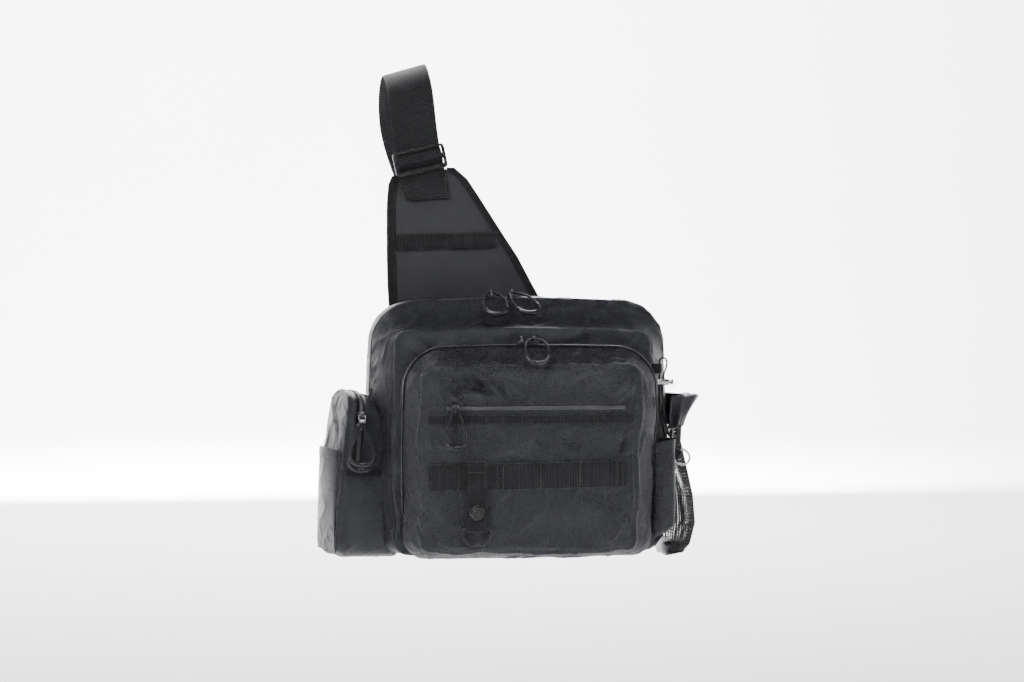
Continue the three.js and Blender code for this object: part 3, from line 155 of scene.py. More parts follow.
def surface(name, grid, finish, nodes=(), body="bag", loopRows=False, flat=None):
    # Rows of closed rings skinned with quads; both ends are closed by a fan round their middle.
    rows, cols = grid.shape[:2]
    faces, place = gridFaces(rows, cols, loopRows, True)
    points = grid.reshape(-1, 3)
    if flat is None:
        along = distances(np.vstack([grid[:, 0], grid[:1, 0]]))
        around = distances(np.vstack([grid[rows // 2], grid[rows // 2, :1]]))
        uv = np.stack([along[place[:, 0]], around[place[:, 1]]], 1)
    else:
        uv = flat.reshape(-1, 2)[faces.ravel()]
    lists = [faces]
    if not loopRows:
        for row, turn in ((0, (1, 0)), (rows - 1, (0, 1))):
            hub = len(points)
            points = np.vstack([points, grid[row].mean(0)])
            ring = row * cols + np.stack([(np.arange(cols) + turn[k]) % cols for k in (0, 1)], 1)
            fan = np.column_stack([ring, np.full(cols, hub)])
            lists.append(fan)
            ringUv = np.column_stack([np.full(cols, along[row]), around[:cols]]) if flat is None else flat[row]
            hubUv = np.broadcast_to(ringUv.mean(0), (cols, 2))
            first, second = (ringUv[ring[:, k] - row * cols] for k in (0, 1))
            uv = np.vstack([uv, np.stack([first, second, hubUv], 1).reshape(-1, 2)])
    if not outwards(points, lists[0]):
        uv = np.concatenate([part[:, ::-1].reshape(-1, 2) for part in split(uv, lists)])
        lists = [part[:, ::-1] for part in lists]
    every = [face for part in lists for face in part.tolist()]
    return addPiece(name, points, every, uv, finish, nodes, body)


def split(uv, lists):
    # Loop values regrouped face by face for each list of faces
    start = 0
    for part in lists:
        size = part.size
        yield uv[start:start + size].reshape(len(part), part.shape[1], 2)
        start += size


def tubeGrid(path, radius, sides, loop=False, flatten=1.0):
    # A circle carried along the path without twist: p + r (cos t side + sin t up)
    ahead = np.roll(path, -1, 0) - np.roll(path, 1, 0) if loop else np.gradient(path, axis=0)
    tangent = unit(ahead)
    side = np.empty_like(path)
    start = np.eye(3)[np.argmin(np.abs(tangent[0]))]
    side[0] = unit(np.cross(tangent[0], start))
    for k in range(1, len(path)):
        side[k] = unit(side[k - 1] - tangent[k] * side[k - 1].dot(tangent[k]))
    up = np.cross(tangent, side)
    turn = np.linspace(0, 2 * math.pi, sides, endpoint=False)[None, :, None]
    size = np.broadcast_to(np.asarray(radius, float), len(path))[:, None, None]
    return path[:, None] + size * (np.cos(turn) * side[:, None] + flatten * np.sin(turn) * up[:, None])


def bandSection(width, thickness, columns=14):
    # Flat strip with half-round selvedges: top row one way, bottom row back
    t = np.linspace(-1, 1, columns)
    across = np.sign(t) * np.abs(t) ** 0.8 * width / 2
    high = thickness / 2 * np.sqrt(np.clip(1 - t ** 8, 0.03, 1))
    return np.concatenate([np.stack([across, high], 1), np.stack([across[::-1], -high[::-1]], 1)])


def bandGrid(at, across, out, section):
    return at[:, None] + section[None, :, :1] * across[:, None] + section[None, :, 1:] * out[:, None]


def band(name, at, across, out, width, thickness, finish, slot, nodes=(), columns=14):
    section = bandSection(width, thickness, columns)
    return surface(name, bandGrid(at, across, out, section), finish, nodes)


def stitchPoints(at, out, step, length=2.2, width=0.55, lift=0.25):
    # Small beads of thread laid end to end along a line, each a six-cornered spindle
    count = max(2, int(distances(at)[-1] / step))
    place, up = evenly(at, count, out)
    along = unit(np.gradient(place, axis=0))
    side = unit(np.cross(along, up))
    spindle = np.array([(-1, 0, 0), (-0.5, 1, 0), (-0.5, 0, 1), (-0.5, -1, 0), (0.5, 1, 0), (0.5, 0, 1),
                        (0.5, -1, 0), (1, 0, 0)])
    base = place + up * lift
    return (base[:, None] + spindle[None, :, :1] * along[:, None] * length / 2
            + spindle[None, :, 1:2] * side[:, None] * width / 2
            + spindle[None, :, 2:] * up[:, None] * width / 2)


def stitches(name, rows):
    # Every row of stitching of one piece in a single mesh
    beads = np.vstack(rows)
    faces = np.array([(0, 2, 1), (0, 3, 2), (1, 2, 5), (1, 5, 4), (2, 3, 6), (2, 6, 5), (4, 5, 7), (5, 6, 7),
                      (0, 1, 3), (1, 4, 3), (4, 6, 3), (4, 7, 6)])
    every = (faces[None] + 8 * np.arange(len(beads))[:, None, None]).reshape(-1, 3)
    uv = beads.reshape(-1, 3)[every.ravel()][:, (0, 2)]
    return addPiece(name, beads.reshape(-1, 3), every.tolist(), uv, thread)


# Finishes. Cloth patterns read the UV map, which holds millimetres along and across each piece.

def addNode(tree, kind, values=None, **settings):
    node = tree.nodes.new(kind)
    for key, value in settings.items():
        setattr(node, key, value)
    for key, value in (values or {}).items():
        if isinstance(value, bpy.types.NodeSocket):
            tree.links.new(value, node.inputs[key])
        else:
            node.inputs[key].default_value = value
    return node


def sineOf(tree, value, period):
    # sin(2 pi value / period)
    turned = addNode(tree, "ShaderNodeMath", {0: value, 1: 2 * math.pi / period}, operation="MULTIPLY")
    return addNode(tree, "ShaderNodeMath", {0: turned.outputs[0]}, operation="SINE").outputs[0]


def combine(tree, operation, a, b):
    return addNode(tree, "ShaderNodeMath", {0: a, 1: b}, operation=operation).outputs[0]


def weavePattern(tree, u, v, look):
    # Plain weave: the product of two sines, one along and one across
    return combine(tree, "MULTIPLY", sineOf(tree, u, look["period"]), sineOf(tree, v, look["period"]))


def ribPattern(tree, u, v, look):
    # Ribs across the strip, broken into yarns by a finer wave
    rib = sineOf(tree, u, look["period"])
    yarn = combine(tree, "MULTIPLY", sineOf(tree, v, look["period"] * 0.6), 0.45)
    return combine(tree, "ADD", rib, yarn)


def twillPattern(tree, u, v, look):
    # Slanted ribs that turn back at the middle: a wave of u + |v|
    slant = combine(tree, "ADD", u, addNode(tree, "ShaderNodeMath", {0: v}, operation="ABSOLUTE").outputs[0])
    return sineOf(tree, slant, look["period"])


def braidPattern(tree, u, v, look):
    # Crossed yarns: waves of u + v and u - v multiplied
    return combine(tree, "MULTIPLY", sineOf(tree, combine(tree, "ADD", u, v), look["period"]),
                   sineOf(tree, combine(tree, "SUBTRACT", u, v), look["period"]))


def grainPattern(tree, u, v, look):
    # Fine moulded or cast grain from noise on the object
    coords = addNode(tree, "ShaderNodeTexCoord").outputs["Object"]
    return addNode(tree, "ShaderNodeTexNoise", {"Vector": coords, "Scale": 1 / (look["period"] * mm),
                                                "Detail": 3.0}).outputs["Fac"]


looks = {
    "bodyNylon": {"dark": 0.007, "light": 0.019, "tint": (0.94, 0.96, 1.14), "rough": (0.25, 0.38),
                  "sheen": 0.02, "gloss": 0.54,
                  "pattern": weavePattern, "period": 1.3, "relief": 0.16, "wear": 0.035},
    "pocketNylon": {"dark": 0.006, "light": 0.021, "tint": (0.94, 0.96, 1.14), "rough": (0.23, 0.36),
                    "sheen": 0.02, "gloss": 0.58,
                    "pattern": weavePattern, "period": 1.7, "relief": 0.2, "wear": 0.06},
    "panelNylon": {"dark": 0.03, "light": 0.06, "tint": (0.99, 0.99, 1.03), "rough": (0.5, 0.64), "sheen": 0.06,
                   "pattern": weavePattern, "period": 1.2, "relief": 0.16, "wear": 0.04},
    "webbing": {"dark": 0.006, "light": 0.019, "tint": (1.0, 1.0, 1.02), "rough": (0.52, 0.7), "sheen": 0.03,
                "pattern": ribPattern, "period": 2.7, "relief": 0.34, "wear": 0.05},
    "zipTape": {"dark": 0.008, "light": 0.02, "tint": (1.0, 1.0, 1.02), "rough": (0.5, 0.66), "sheen": 0.03,
                "pattern": twillPattern, "period": 1.1, "relief": 0.14, "wear": 0.03},
    # The coil is painted a lighter grey than its black tape: a painted highlight standing in for the glints on
    # its teeth
    "zipCoil": {"dark": 0.05, "light": 0.11, "tint": (1.0, 1.0, 1.0), "rough": (0.28, 0.4), "sheen": 0.0,
                "pattern": grainPattern, "period": 0.5, "relief": 0.02, "wear": 0.09},
    "binding": {"dark": 0.008, "light": 0.02, "tint": (1.03, 1.0, 0.98), "rough": (0.6, 0.76), "sheen": 0.03,
                "pattern": ribPattern, "period": 1.5, "relief": 0.24, "wear": 0.04},
    "netYarn": {"dark": 0.012, "light": 0.026, "tint": (1.0, 1.0, 1.02), "rough": (0.5, 0.65), "sheen": 0.03,
                "pattern": grainPattern, "period": 0.7, "relief": 0.05, "wear": 0.03},
    "cordCover": {"dark": 0.008, "light": 0.024, "tint": (1.0, 1.0, 1.02), "rough": (0.42, 0.55), "sheen": 0.03,
                  "pattern": braidPattern, "period": 1.5, "relief": 0.2, "wear": 0.05},
    "thread": {"dark": 0.012, "light": 0.03, "tint": (1.0, 1.0, 1.02), "rough": (0.4, 0.5), "sheen": 0.03,
               "pattern": grainPattern, "period": 0.4, "relief": 0.03, "wear": 0.02},
    "grip": {"gloss": 0.5, "dark": 0.012, "light": 0.022, "tint": (1.0, 1.0, 1.03), "rough": (0.2, 0.32),
             "sheen": 0.0,
             "pattern": grainPattern, "period": 0.6, "relief": 0.015, "wear": 0.05, "coat": 0.25},
    "gunmetal": {"dark": 0.035, "light": 0.09, "tint": (1.0, 1.0, 1.03), "rough": (0.22, 0.36), "sheen": 0.0,
                 "pattern": grainPattern, "period": 1.2, "relief": 0.01, "wear": 0.3, "metal": 1.0},
    "nickel": {"dark": 0.42, "light": 0.62, "tint": (1.0, 1.0, 1.01), "rough": (0.18, 0.32), "sheen": 0.0,
               "pattern": grainPattern, "period": 1.5, "relief": 0.01, "wear": 0.2, "metal": 1.0},
}


def makeFinish(name):
    # Colour and roughness drift with noise on the object, the weave shades its own hollows, and
    # edges that stand proud are rubbed lighter.
    look = looks[name]
    material = bpy.data.materials.new(name)
    material.use_nodes = True
    tree = material.node_tree
    shader = tree.nodes["Principled BSDF"]
    coords = addNode(tree, "ShaderNodeTexCoord")
    parts = addNode(tree, "ShaderNodeSeparateXYZ", {0: coords.outputs["UV"]})
    height = look["pattern"](tree, parts.outputs[0], parts.outputs[1], look)
    place = coords.outputs["Object"]
    drift = addNode(tree, "ShaderNodeTexNoise", {"Vector": place, "Scale": 32.0, "Detail": 5.0,
                                                 "Roughness": 0.6}).outputs["Fac"]
    fine = addNode(tree, "ShaderNodeTexNoise", {"Vector": place, "Scale": 900.0, "Detail": 2.0}).outputs["Fac"]
    tone = addNode(tree, "ShaderNodeMapRange", {0: height, 1: -1.3, 2: 1.3, 3: 0.15, 4: 0.85}).outputs[0]
    mixed = combine(tree, "ADD", combine(tree, "MULTIPLY", tone, 0.55), combine(tree, "MULTIPLY", drift, 0.45))
    dark, light = ([*(look[key] * t for t in look["tint"]), 1.0] for key in ("dark", "light"))
    cloth = addNode(tree, "ShaderNodeMix", {"Factor": mixed}, data_type="RGBA")
    cloth.inputs[6].default_value, cloth.inputs[7].default_value = dark, light
    edge = addNode(tree, "ShaderNodeNewGeometry").outputs["Pointiness"]
    rubbed = addNode(tree, "ShaderNodeMapRange", {0: edge, 1: 0.53, 2: 0.62, 3: 0.0, 4: 0.8}).outputs[0]
    patchy = combine(tree, "MULTIPLY", rubbed, addNode(
        tree, "ShaderNodeMapRange", {0: drift, 1: 0.4, 2: 0.65, 3: 0.2, 4: 1.0}).outputs[0])
    worn = addNode(tree, "ShaderNodeMix", {"Factor": patchy, 6: cloth.outputs[2]}, data_type="RGBA")
    worn.inputs[7].default_value = [*(min(1, look["light"] + look["wear"]) * t for t in look["tint"]), 1.0]
    tree.links.new(worn.outputs[2], shader.inputs["Base Color"])
    smooth, coarse = look["rough"]
    rough = addNode(tree, "ShaderNodeMapRange", {0: fine, 1: 0.3, 2: 0.7, 3: smooth, 4: coarse})
    tree.links.new(rough.outputs[0], shader.inputs["Roughness"])
    grain = combine(tree, "ADD", height, combine(tree, "MULTIPLY", fine, 0.5))
    bump = addNode(tree, "ShaderNodeBump", {"Height": grain, "Distance": look["relief"] * mm, "Strength": 0.8})
    tree.links.new(bump.outputs[0], shader.inputs["Normal"])
    shader.inputs["Metallic"].default_value = look.get("metal", 0.0)
    shader.inputs["Sheen Weight"].default_value = look["sheen"]
    shader.inputs["Sheen Roughness"].default_value = 0.45
    shader.inputs["Coat Weight"].default_value = look.get("coat", 0.0)
    shader.inputs["Specular IOR Level"].default_value = look.get("gloss", 0.4)
    shader.inputs["Specular Tint"].default_value = (0.87, 0.9, 1.0, 1.0)
    return material


finishes = {name: makeFinish(name) for name in looks}
thread = finishes["thread"]

# Pouches: rounded outlines stacked from the rear (depth 0) to the face (depth 1)


def roundedOutline(lim, steps):
    # Clockwise from the foot of the left side: edges bowed by a half sine, quarter arcs between
    left, right, base, top, rt, rb = (np.reshape(lim[k], (-1, 1)) for k in
                                      ("left", "right", "base", "top", "topRadius", "baseRadius"))
    parts = []

    def edge(a0, b0, a1, b1, n):
        t = np.arange(n) / n
        length = np.hypot(a1 - a0, b1 - b0)
        bow = lim["camber"] * np.sin(math.pi * t)
        parts.append((a0 + (a1 - a0) * t - (b1 - b0) / length * bow,
                      b0 + (b1 - b0) * t + (a1 - a0) / length * bow))

    def arc(a, b, radius, start, n):
        angle = start - math.pi / 2 * np.arange(n) / n
        parts.append((a + radius * np.cos(angle), b + radius * np.sin(angle)))
    edge(left, base + rb, left, top - rt, steps["side"])
    arc(left + rt, top - rt, rt, math.pi, steps["arc"])
    edge(left + rt, top, right - rt, top, steps["top"])
    arc(right - rt, top - rt, rt, math.pi / 2, steps["arc"])
    edge(right, top - rt, right, base + rb, steps["side"])
    arc(right - rb, base + rb, rb, 0, steps["arc"])
    edge(right - rb, base, left + rb, base, steps["top"])
    arc(left + rb, base + rb, rb, -math.pi / 2, steps["arc"])
    return (np.concatenate([np.broadcast_to(p[k], (left.shape[0], p[k].shape[1])) for p in parts], 1)
            for k in (0, 1))


def pouchRings(form, depth, reach):
    # Each ring: the outline at its depth, shrunk towards its middle by reach; the face swells by
    # bulge (1 - reach^3). Also gives the cloth laid flat: the outline pushed out by its depth, and on
    # the rear drawn in again towards the middle.
    depth, reach = np.asarray(depth, float), np.asarray(reach, float)
    lim = form["limits"](depth)
    a, b = roundedOutline(lim, form["steps"])
    midA = (np.reshape(lim["left"], (-1, 1)) + np.reshape(lim["right"], (-1, 1))) / 2
    midB = (np.reshape(lim["base"], (-1, 1)) + np.reshape(lim["top"], (-1, 1))) / 2
    a, b = midA + (a - midA) * reach[:, None], midB + (b - midB) * reach[:, None]
    swell = np.where(depth >= 1, form["bulge"] * (1 - reach ** 3), 0)[:, None]
    grid = form["place"](a, b, depth[:, None], swell)
    away = unit(np.stack([a - midA, b - midB], -1))
    flat = np.stack([a, b], -1) + away * ((1 - depth) * form["depth"] * reach)[:, None, None]
    return grid, flat


def pushOut(grid, amount):
    # Moves each point along the normal of the grid by the given amount
    around = np.roll(grid, -1, 1) - np.roll(grid, 1, 1)
    along = np.gradient(grid, axis=0)
    normal = unit(np.cross(along, around))
    middle = grid.reshape(-1, 3).mean(0)
    sign = np.sign(np.sum(normal * (grid - middle)))
    return grid + normal * sign * amount[..., None]


def creases(flat, rows):
    # A ridge or valley depth exp(-(d / width)^2) along each line, fading towards its two ends
    total = np.zeros(flat.shape[:2])
    for x0, z0, x1, z1, width, depth in rows:
        line = np.array([x1 - x0, z1 - z0])
        length = np.hypot(*line)
        away = flat - (x0, z0)
        along = away @ (line / length ** 2)
        aside = away @ (np.array([-line[1], line[0]]) / length) / width
        total += depth * np.exp(-aside ** 2) * np.clip(1 - np.abs(2 * along - 1) ** 3, 0, 1)
    return total


def crumple(flat, size, seed):
    # Broad slack plus sharp little ridges: noise, and (1 - |noise|)^6 of a second noise
    drift = np.stack([softNoise(flat, size, seed + 5), softNoise(flat, size, seed + 6)], -1)
    warped = flat + 0.35 * size * drift
    broad = softNoise(flat, 1.7 * size, seed)
    sharp = (1 - np.abs(softNoise(warped, size, seed + 1))) ** 6
    small = (1 - np.abs(softNoise(warped, 0.5 * size, seed + 2))) ** 6
    return 1.0 * broad + 1.5 * sharp + 0.6 * small - 0.6


def sway(grid, near, size, amount, seed):
    # Seams wander: points near one slide in x by a noise of z, and in z by a noise of x
    x, z = grid[..., 0], grid[..., 2]
    grid[..., 0] += amount * near * softNoise(np.stack([z, 0 * z], -1), size, seed)
    grid[..., 2] += amount * near * softNoise(np.stack([x, 0 * x], -1), size, seed + 1)


zipSize = {"width": 6.4, "sunk": 0.7, "thickness": 1.1, "seam": 2.2, "stitch": 3.4}


def zipRun(name, form, depth, first, last, nodes):
    # Tape sunk in the slot along one ring, a toothed coil down its middle, stitching on both sides
    ring, _ = pouchRings(form, [depth, depth + 0.02], [1, 1])
    index = np.arange(first, last + 1) % ring.shape[1]
    raw = ring[0, index]
    across = unit(ring[1, index] - raw)
    along = unit(np.gradient(raw, axis=0))
    out = unit(np.cross(across, along))
    middle = ring[0].mean(0)
    out *= np.sign(np.sum(out * (raw - middle)))
    length = distances(raw)[-1]
    at, across, out = evenly(raw, int(length / 2.5), across, out)
    across, out = unit(across), unit(out)
    tape, width = zipSize, zipSize["width"]
    band(name, at - out * tape["sunk"], across, out, width, tape["thickness"], finishes["zipTape"],
         "zip_tape", nodes)
    coil(name + "Coil", at, across, out)
    rows = [stitchPoints(at + across * s * (width / 2 + tape["seam"]), out, tape["stitch"]) for s in (-1, 1)]
    stitches(name + "Stitches", rows)
    return at, across, out


coilSize = {"pitch": 2.2, "width": 4.0, "height": 0.8, "columns": 7, "perTooth": 5}


def coil(name, at, across, out):
    # Height |sin(pi u / pitch)| along, dipped at the middle line where the two halves meet
    size = coilSize
    length = distances(at)[-1]
    steps = int(length / size["pitch"]) * size["perTooth"]
    place, side, up = evenly(at, steps, across, out)
    u = np.linspace(0, length, steps)
    t = np.linspace(-1, 1, size["columns"])
    half = np.where(t > 0, 0.5, 0)
    tooth = np.abs(np.sin(math.pi * (u[:, None] / size["pitch"] + half[None]))) * 0.65 + 0.35
    crown = np.sqrt(np.clip(1 - t ** 2, 0, 1)) * (1 - 0.45 * np.exp(-(t / 0.18) ** 2))
    height = size["height"] * tooth * crown[None]
    aside = (t * size["width"] / 2)[None, :, None]
    top = place[:, None] + side[:, None] * aside + up[:, None] * height[..., None]
    low = place[:, None] + side[:, None] * aside[:, ::-1] - 0.3 * up[:, None]
    # zipCoil finish is painted lighter than the tape as a painted highlight of the teeth's glints
    return surface(name, np.concatenate([top - 0.12 * up[:, None], low], 1), finishes["zipCoil"])


# Main body

bodySize = {"left": -38, "right": 270, "base": -507, "top": -244, "rear": -75, "depth": 98, "bevelStart": 0.56,
            "sideBevel": 24, "topFall": 31, "topRadius": 46, "baseRadius": 26, "edgeRadius": 12,
            "zipDepth": 0.5}


def bodyLimits(depth):
    s = bodySize
    slope = np.maximum(0, (depth - s["bevelStart"]) / (1 - s["bevelStart"]))
    sag = np.sin(math.pi * slope)
    side = s["sideBevel"] * (slope - 0.1 * sag)
    return {"left": s["left"] + side, "right": s["right"] - side, "base": s["base"] + 4 * slope,
            "top": s["top"] - s["topFall"] * (slope + 0.3 * sag),
            "topRadius": s["topRadius"] + (s["edgeRadius"] - s["topRadius"]) * slope,
            "baseRadius": s["baseRadius"] + (s["edgeRadius"] - s["baseRadius"]) * slope, "camber": 3}


def bodyPlace(a, b, depth, lift):
    return np.stack([a, np.broadcast_to(bodySize["rear"] - depth * bodySize["depth"] - lift, a.shape), b], -1)


bodyForm = {"limits": bodyLimits, "place": bodyPlace, "bulge": 5, "depth": 98,
            "steps": {"side": 66, "arc": 18, "top": 84}}
bodyCreases = [
    (-6, -286, 22, -316, 4.5, 3.2), (-12, -296, 14, -322, 4, -2.6), (2, -280, 34, -306, 4, -2.2),
    (230, -282, 262, -306, 6, 1.8), (226, -300, 250, -296, 4, -1.2), (60, -284, 110, -290, 3.5, -0.9),
    (150, -289, 200, -284, 3.5, -0.9), (96, -262, 140, -268, 5, 0.8), (180, -262, 228, -268, 5, -0.8),
]


def makeBody():
    s = bodySize
    edge = np.linspace(0, 1, 6)[1:]
    depth = np.concatenate([np.zeros(10), 0.07 * edge ** 2, np.linspace(0.07, 0.56, 44)[1:],
                            np.linspace(0.56, 0.99, 40)[1:], np.ones(22)])
    reach = np.concatenate([np.linspace(0.08, 0.96, 10), 0.96 + 0.04 * edge ** 0.5, np.ones(43), np.ones(39),
                            np.linspace(0.985, 0.1, 22)])
    grid, flat = pouchRings(bodyForm, depth, reach)
    d = depth[:, None]
    sway(grid, ease(d, 0.7, 0.95), 30, 2.0, 61)
    x, z = grid[..., 0], grid[..., 2]
    amount = crumple(flat, 30, 3) * 1.15 * ease(d, 0.02, 0.2)
    amount = amount + creases(flat, bodyCreases) * ease(d, 0.5, 0.7)
    piping = np.exp(-((d - 0.975) / 0.016) ** 2) * (reach[:, None] > 0.99)
    amount = amount * (1 - piping) + 1.5 * piping - 1.1 * np.exp(-((d - 0.935) / 0.014) ** 2)
    count = grid.shape[1]
    first, last = bodyZipRange()
    onZip = np.zeros(count)
    onZip[first - 3:last + 4] = 1
    slot = np.exp(-((d - s["zipDepth"]) * s["depth"] / 4.2) ** 6) * onZip
    amount = amount * (1 - slot) - 1.7 * slot
    rearSeam = np.exp(-((d - 0.1) / 0.012) ** 2)
    amount = amount - 0.8 * rearSeam
    inner = ease(-y0(grid), 168, 172) * ease(z, -500, -490) * ease(-z, 296, 306) * ease(x, -4, 6)
    amount = amount * (1 - 0.8 * inner)
    surface("mainBodyCloth", pushOut(grid, amount), finishes["bodyNylon"], ["main_body"],
            flat=flat)


def y0(grid):
    return grid[..., 1]


def bodyZipRange():
    steps = bodyForm["steps"]
    return int(steps["side"] * 0.667), int(steps["side"] * 1.167 + 2 * steps["arc"] + steps["top"])


# Front pocket

pocketSize = {"left": -11, "width": 262, "top": -289, "base": -505, "rear": -167, "depth": 50,
              "bevelStart": 0.55,
              "sideBevel": 20, "topFall": 22, "bulge": 6, "topRadius": 44, "baseRadius": 22, "edgeRadius": 9,
              "squeeze": 5, "zipDepth": 0.5}
sheathTopZ = -391


def pocketLimits(depth):
    s = pocketSize
    slope = np.maximum(0, (depth - s["bevelStart"]) / (1 - s["bevelStart"]))
    sag = np.sin(math.pi * slope)
    side = s["sideBevel"] * (slope - 0.08 * sag)
    return {"left": s["left"] + side, "right": s["left"] + s["width"] - 1.2 * side,
            "top": s["top"] - s["topFall"] * (slope + 0.1 * sag), "base": s["base"] + 9 * slope,
            "topRadius": s["topRadius"] + (s["edgeRadius"] - s["topRadius"]) * slope,
            "baseRadius": s["baseRadius"] + (s["edgeRadius"] - s["baseRadius"]) * slope, "camber": 1.5}


def pocketPlace(a, b, depth, lift):
    # The lower right side gives way to the sheath beside it
    s = pocketSize
    right = np.maximum(0, (a - s["left"] - s["width"] / 2) / (s["width"] / 2))
    squeeze = s["squeeze"] * right * (1 - ease(b, sheathTopZ - 10, sheathTopZ + 30))
    return np.stack([a - squeeze, np.broadcast_to(s["rear"] - depth * s["depth"] - lift, a.shape), b], -1)


pocketForm = {"limits": pocketLimits, "place": pocketPlace, "bulge": 6, "depth": 50,
              "steps": {"side": 64, "arc": 16, "top": 78}}


def pocketFaceY(x, z):
    # Face of the pocket without its folds: the bulge falls off with the cube of the distance
    lim = pocketLimits(np.array(1.0))
    across = np.abs(2 * x - lim["left"] - lim["right"]) / (lim["right"] - lim["left"])
    up = np.abs(2 * z - lim["base"] - lim["top"]) / (lim["top"] - lim["base"])
    far = np.minimum(1, np.maximum(across, up))
    return pocketSize["rear"] - pocketSize["depth"] - pocketSize["bulge"] * (1 - far ** 3)


faceCreases = [
    (46, -312, 78, -340, 4.5, -2.4), (58, -312, 92, -346, 5, 2.2), (22, -316, 66, -332, 4, -1.8),
    (34, -334, 68, -330, 3.5, -2.0), (30, -342, 50, -346, 5, 1.6), (16, -330, 28, -346, 4, 1.2),
    (196, -346, 228, -326, 5, 1.6), (206, -350, 230, -338, 3.5, -1.5), (120, -330, 160, -340, 9, 0.8),
    (96, -402, 122, -386, 4, 1.8), (70, -376, 92, -398, 6, -1.2), (142, -380, 162, -402, 4.5, 1.8),
    (156, -378, 176, -400, 5, -1.3), (206, -406, 226, -384, 3.5, -1.8), (198, -404, 214, -380, 5, 1.5),
    (16, -392, 36, -382, 4, -1.4), (20, -446, 40, -470, 7, 1.5), (76, -442, 60, -476, 6, -1.0),
    (160, -448, 200, -456, 6, 1.3), (196, -440, 224, -462, 5, -1.4), (212, -462, 226, -484, 4, 1.4),
    (120, -470, 190, -484, 9, -0.9), (20, -486, 60, -492, 4, 1.2), (90, -490, 150, -494, 5, 0.8),
]
bevelCreases = [
    (30, -297, 44, -309, 3, -1.3), (66, -292, 84, -306, 3.5, 1.2), (104, -294, 116, -306, 3, -1.1),
    (150, -294, 168, -306, 3, 1.2), (186, -296, 200, -306, 3, -1.2), (206, -294, 226, -304, 4, 1.3),
    (-4, -344, 8, -356, 3, 1.2), (-4, -392, 8, -402, 3, -1.2), (-2, -440, 8, -452, 3, 1.2),
    (-2, -474, 10, -484, 3, -1.2), (232, -350, 244, -362, 3, 1.1), (230, -420, 242, -432, 3, -1.0),
]
bands = {"zipZ": -351, "zipFrom": 31, "zipTo": 214, "facingZ": -362.2, "facingWidth": 11, "facingThickness": 1,
         "ladderZ": -421, "ladderWidth": 27, "ladderThickness": 1.6, "ladderRise": 3, "from": 12, "to": 219}


def makeFrontPocket():
    s = pocketSize
    depth = np.concatenate([np.zeros(4), np.linspace(0, 0.55, 26), np.linspace(0.55, 0.975, 26)[1:],
                            np.ones(74)])
    inwards = np.linspace(0, 1, 74)
    reach = np.concatenate([[0.4, 0.7, 0.9, 0.97], np.ones(51),
                            0.988 - 0.928 * (0.35 * inwards + 0.65 * inwards ** 2)])
    grid, flat = pouchRings(pocketForm, depth, reach)
    d, r = depth[:, None], reach[:, None]
    sway(grid, ease(d, 0.7, 0.97) * ease(r, 0.75, 0.97), 26, 1.9, 71)
    z = grid[..., 2]
    face = (d >= 1) * ease(1 - r, 0.01, 0.06)
    warp = flat + 2.2 * np.stack([softNoise(flat, 14, 8), softNoise(flat, 14, 9)], -1)
    amount = crumple(flat, 26, 11) * (1.0 * face + 0.9 * (d < 1)) * ease(d, 0.1, 0.3)
    amount = (amount + 1.9 * creases(warp, faceCreases) * face
              + 1.6 * creases(warp, bevelCreases) * ease(d, 0.5, 0.7))
    amount = amount * (1 - 0.9 * underBands(flat))
    seam = np.exp(-((1 - r) / 0.012) ** 2) * (d >= 1)
    welt = np.exp(-((d - 0.95) / 0.028) ** 2) * (r > 0.99)
    amount = amount * (1 - seam) - 1.8 * seam + 1.5 * welt
    first, last = pocketZipRange()
    onZip = np.zeros(grid.shape[1])
    onZip[first - 2:last + 3] = 1
    slot = np.exp(-((d - s["zipDepth"]) * s["depth"] / 4.2) ** 6) * onZip * (r > 0.99)
    amount = amount * (1 - slot) - 1.7 * slot
    span = inSpan(grid[..., 0], bands["zipFrom"], bands["zipTo"])
    mouth = np.exp(-((z - bands["zipZ"]) / 2.6) ** 6) * face * span
    amount = amount * (1 - mouth) - 1.5 * mouth
    surface("frontPocketCloth", pushOut(grid, amount), finishes["pocketNylon"],
            ["front_pocket"],
            flat=flat)


def inSpan(x, low, high):
    return ease(x, low - 2, low + 1) * (1 - ease(x, high - 1, high + 2))


def underBands(flat):
    # 1 where a sewn band holds the cloth down
    z = flat[..., 1]
    facing = np.exp(-((z - bands["facingZ"] - 3) / 11) ** 6)
    ladder = np.exp(-((z - bands["ladderZ"] - 1.5) / 16) ** 8)
    return np.maximum(facing, ladder)


def pocketZipRange():
    steps = pocketForm["steps"]
    return int(steps["side"] / 6), int(steps["side"] * 1.5 + 2 * steps["arc"] + steps["top"])


def faceLine(x0, x1, z, lift, rise=0, count=90):
    # Points on the pocket's face between two x, with the directions across and out of it
    x = np.linspace(x0, x1, count)
    height = z + rise * np.linspace(0, 1, count)
    at = np.stack([x, pocketFaceY(x, height) - lift, height], 1)
    across = np.tile([0.0, 0, 1], (count, 1))
    out = np.tile([0.0, -1, 0], (count, 1))
    return at, across, out


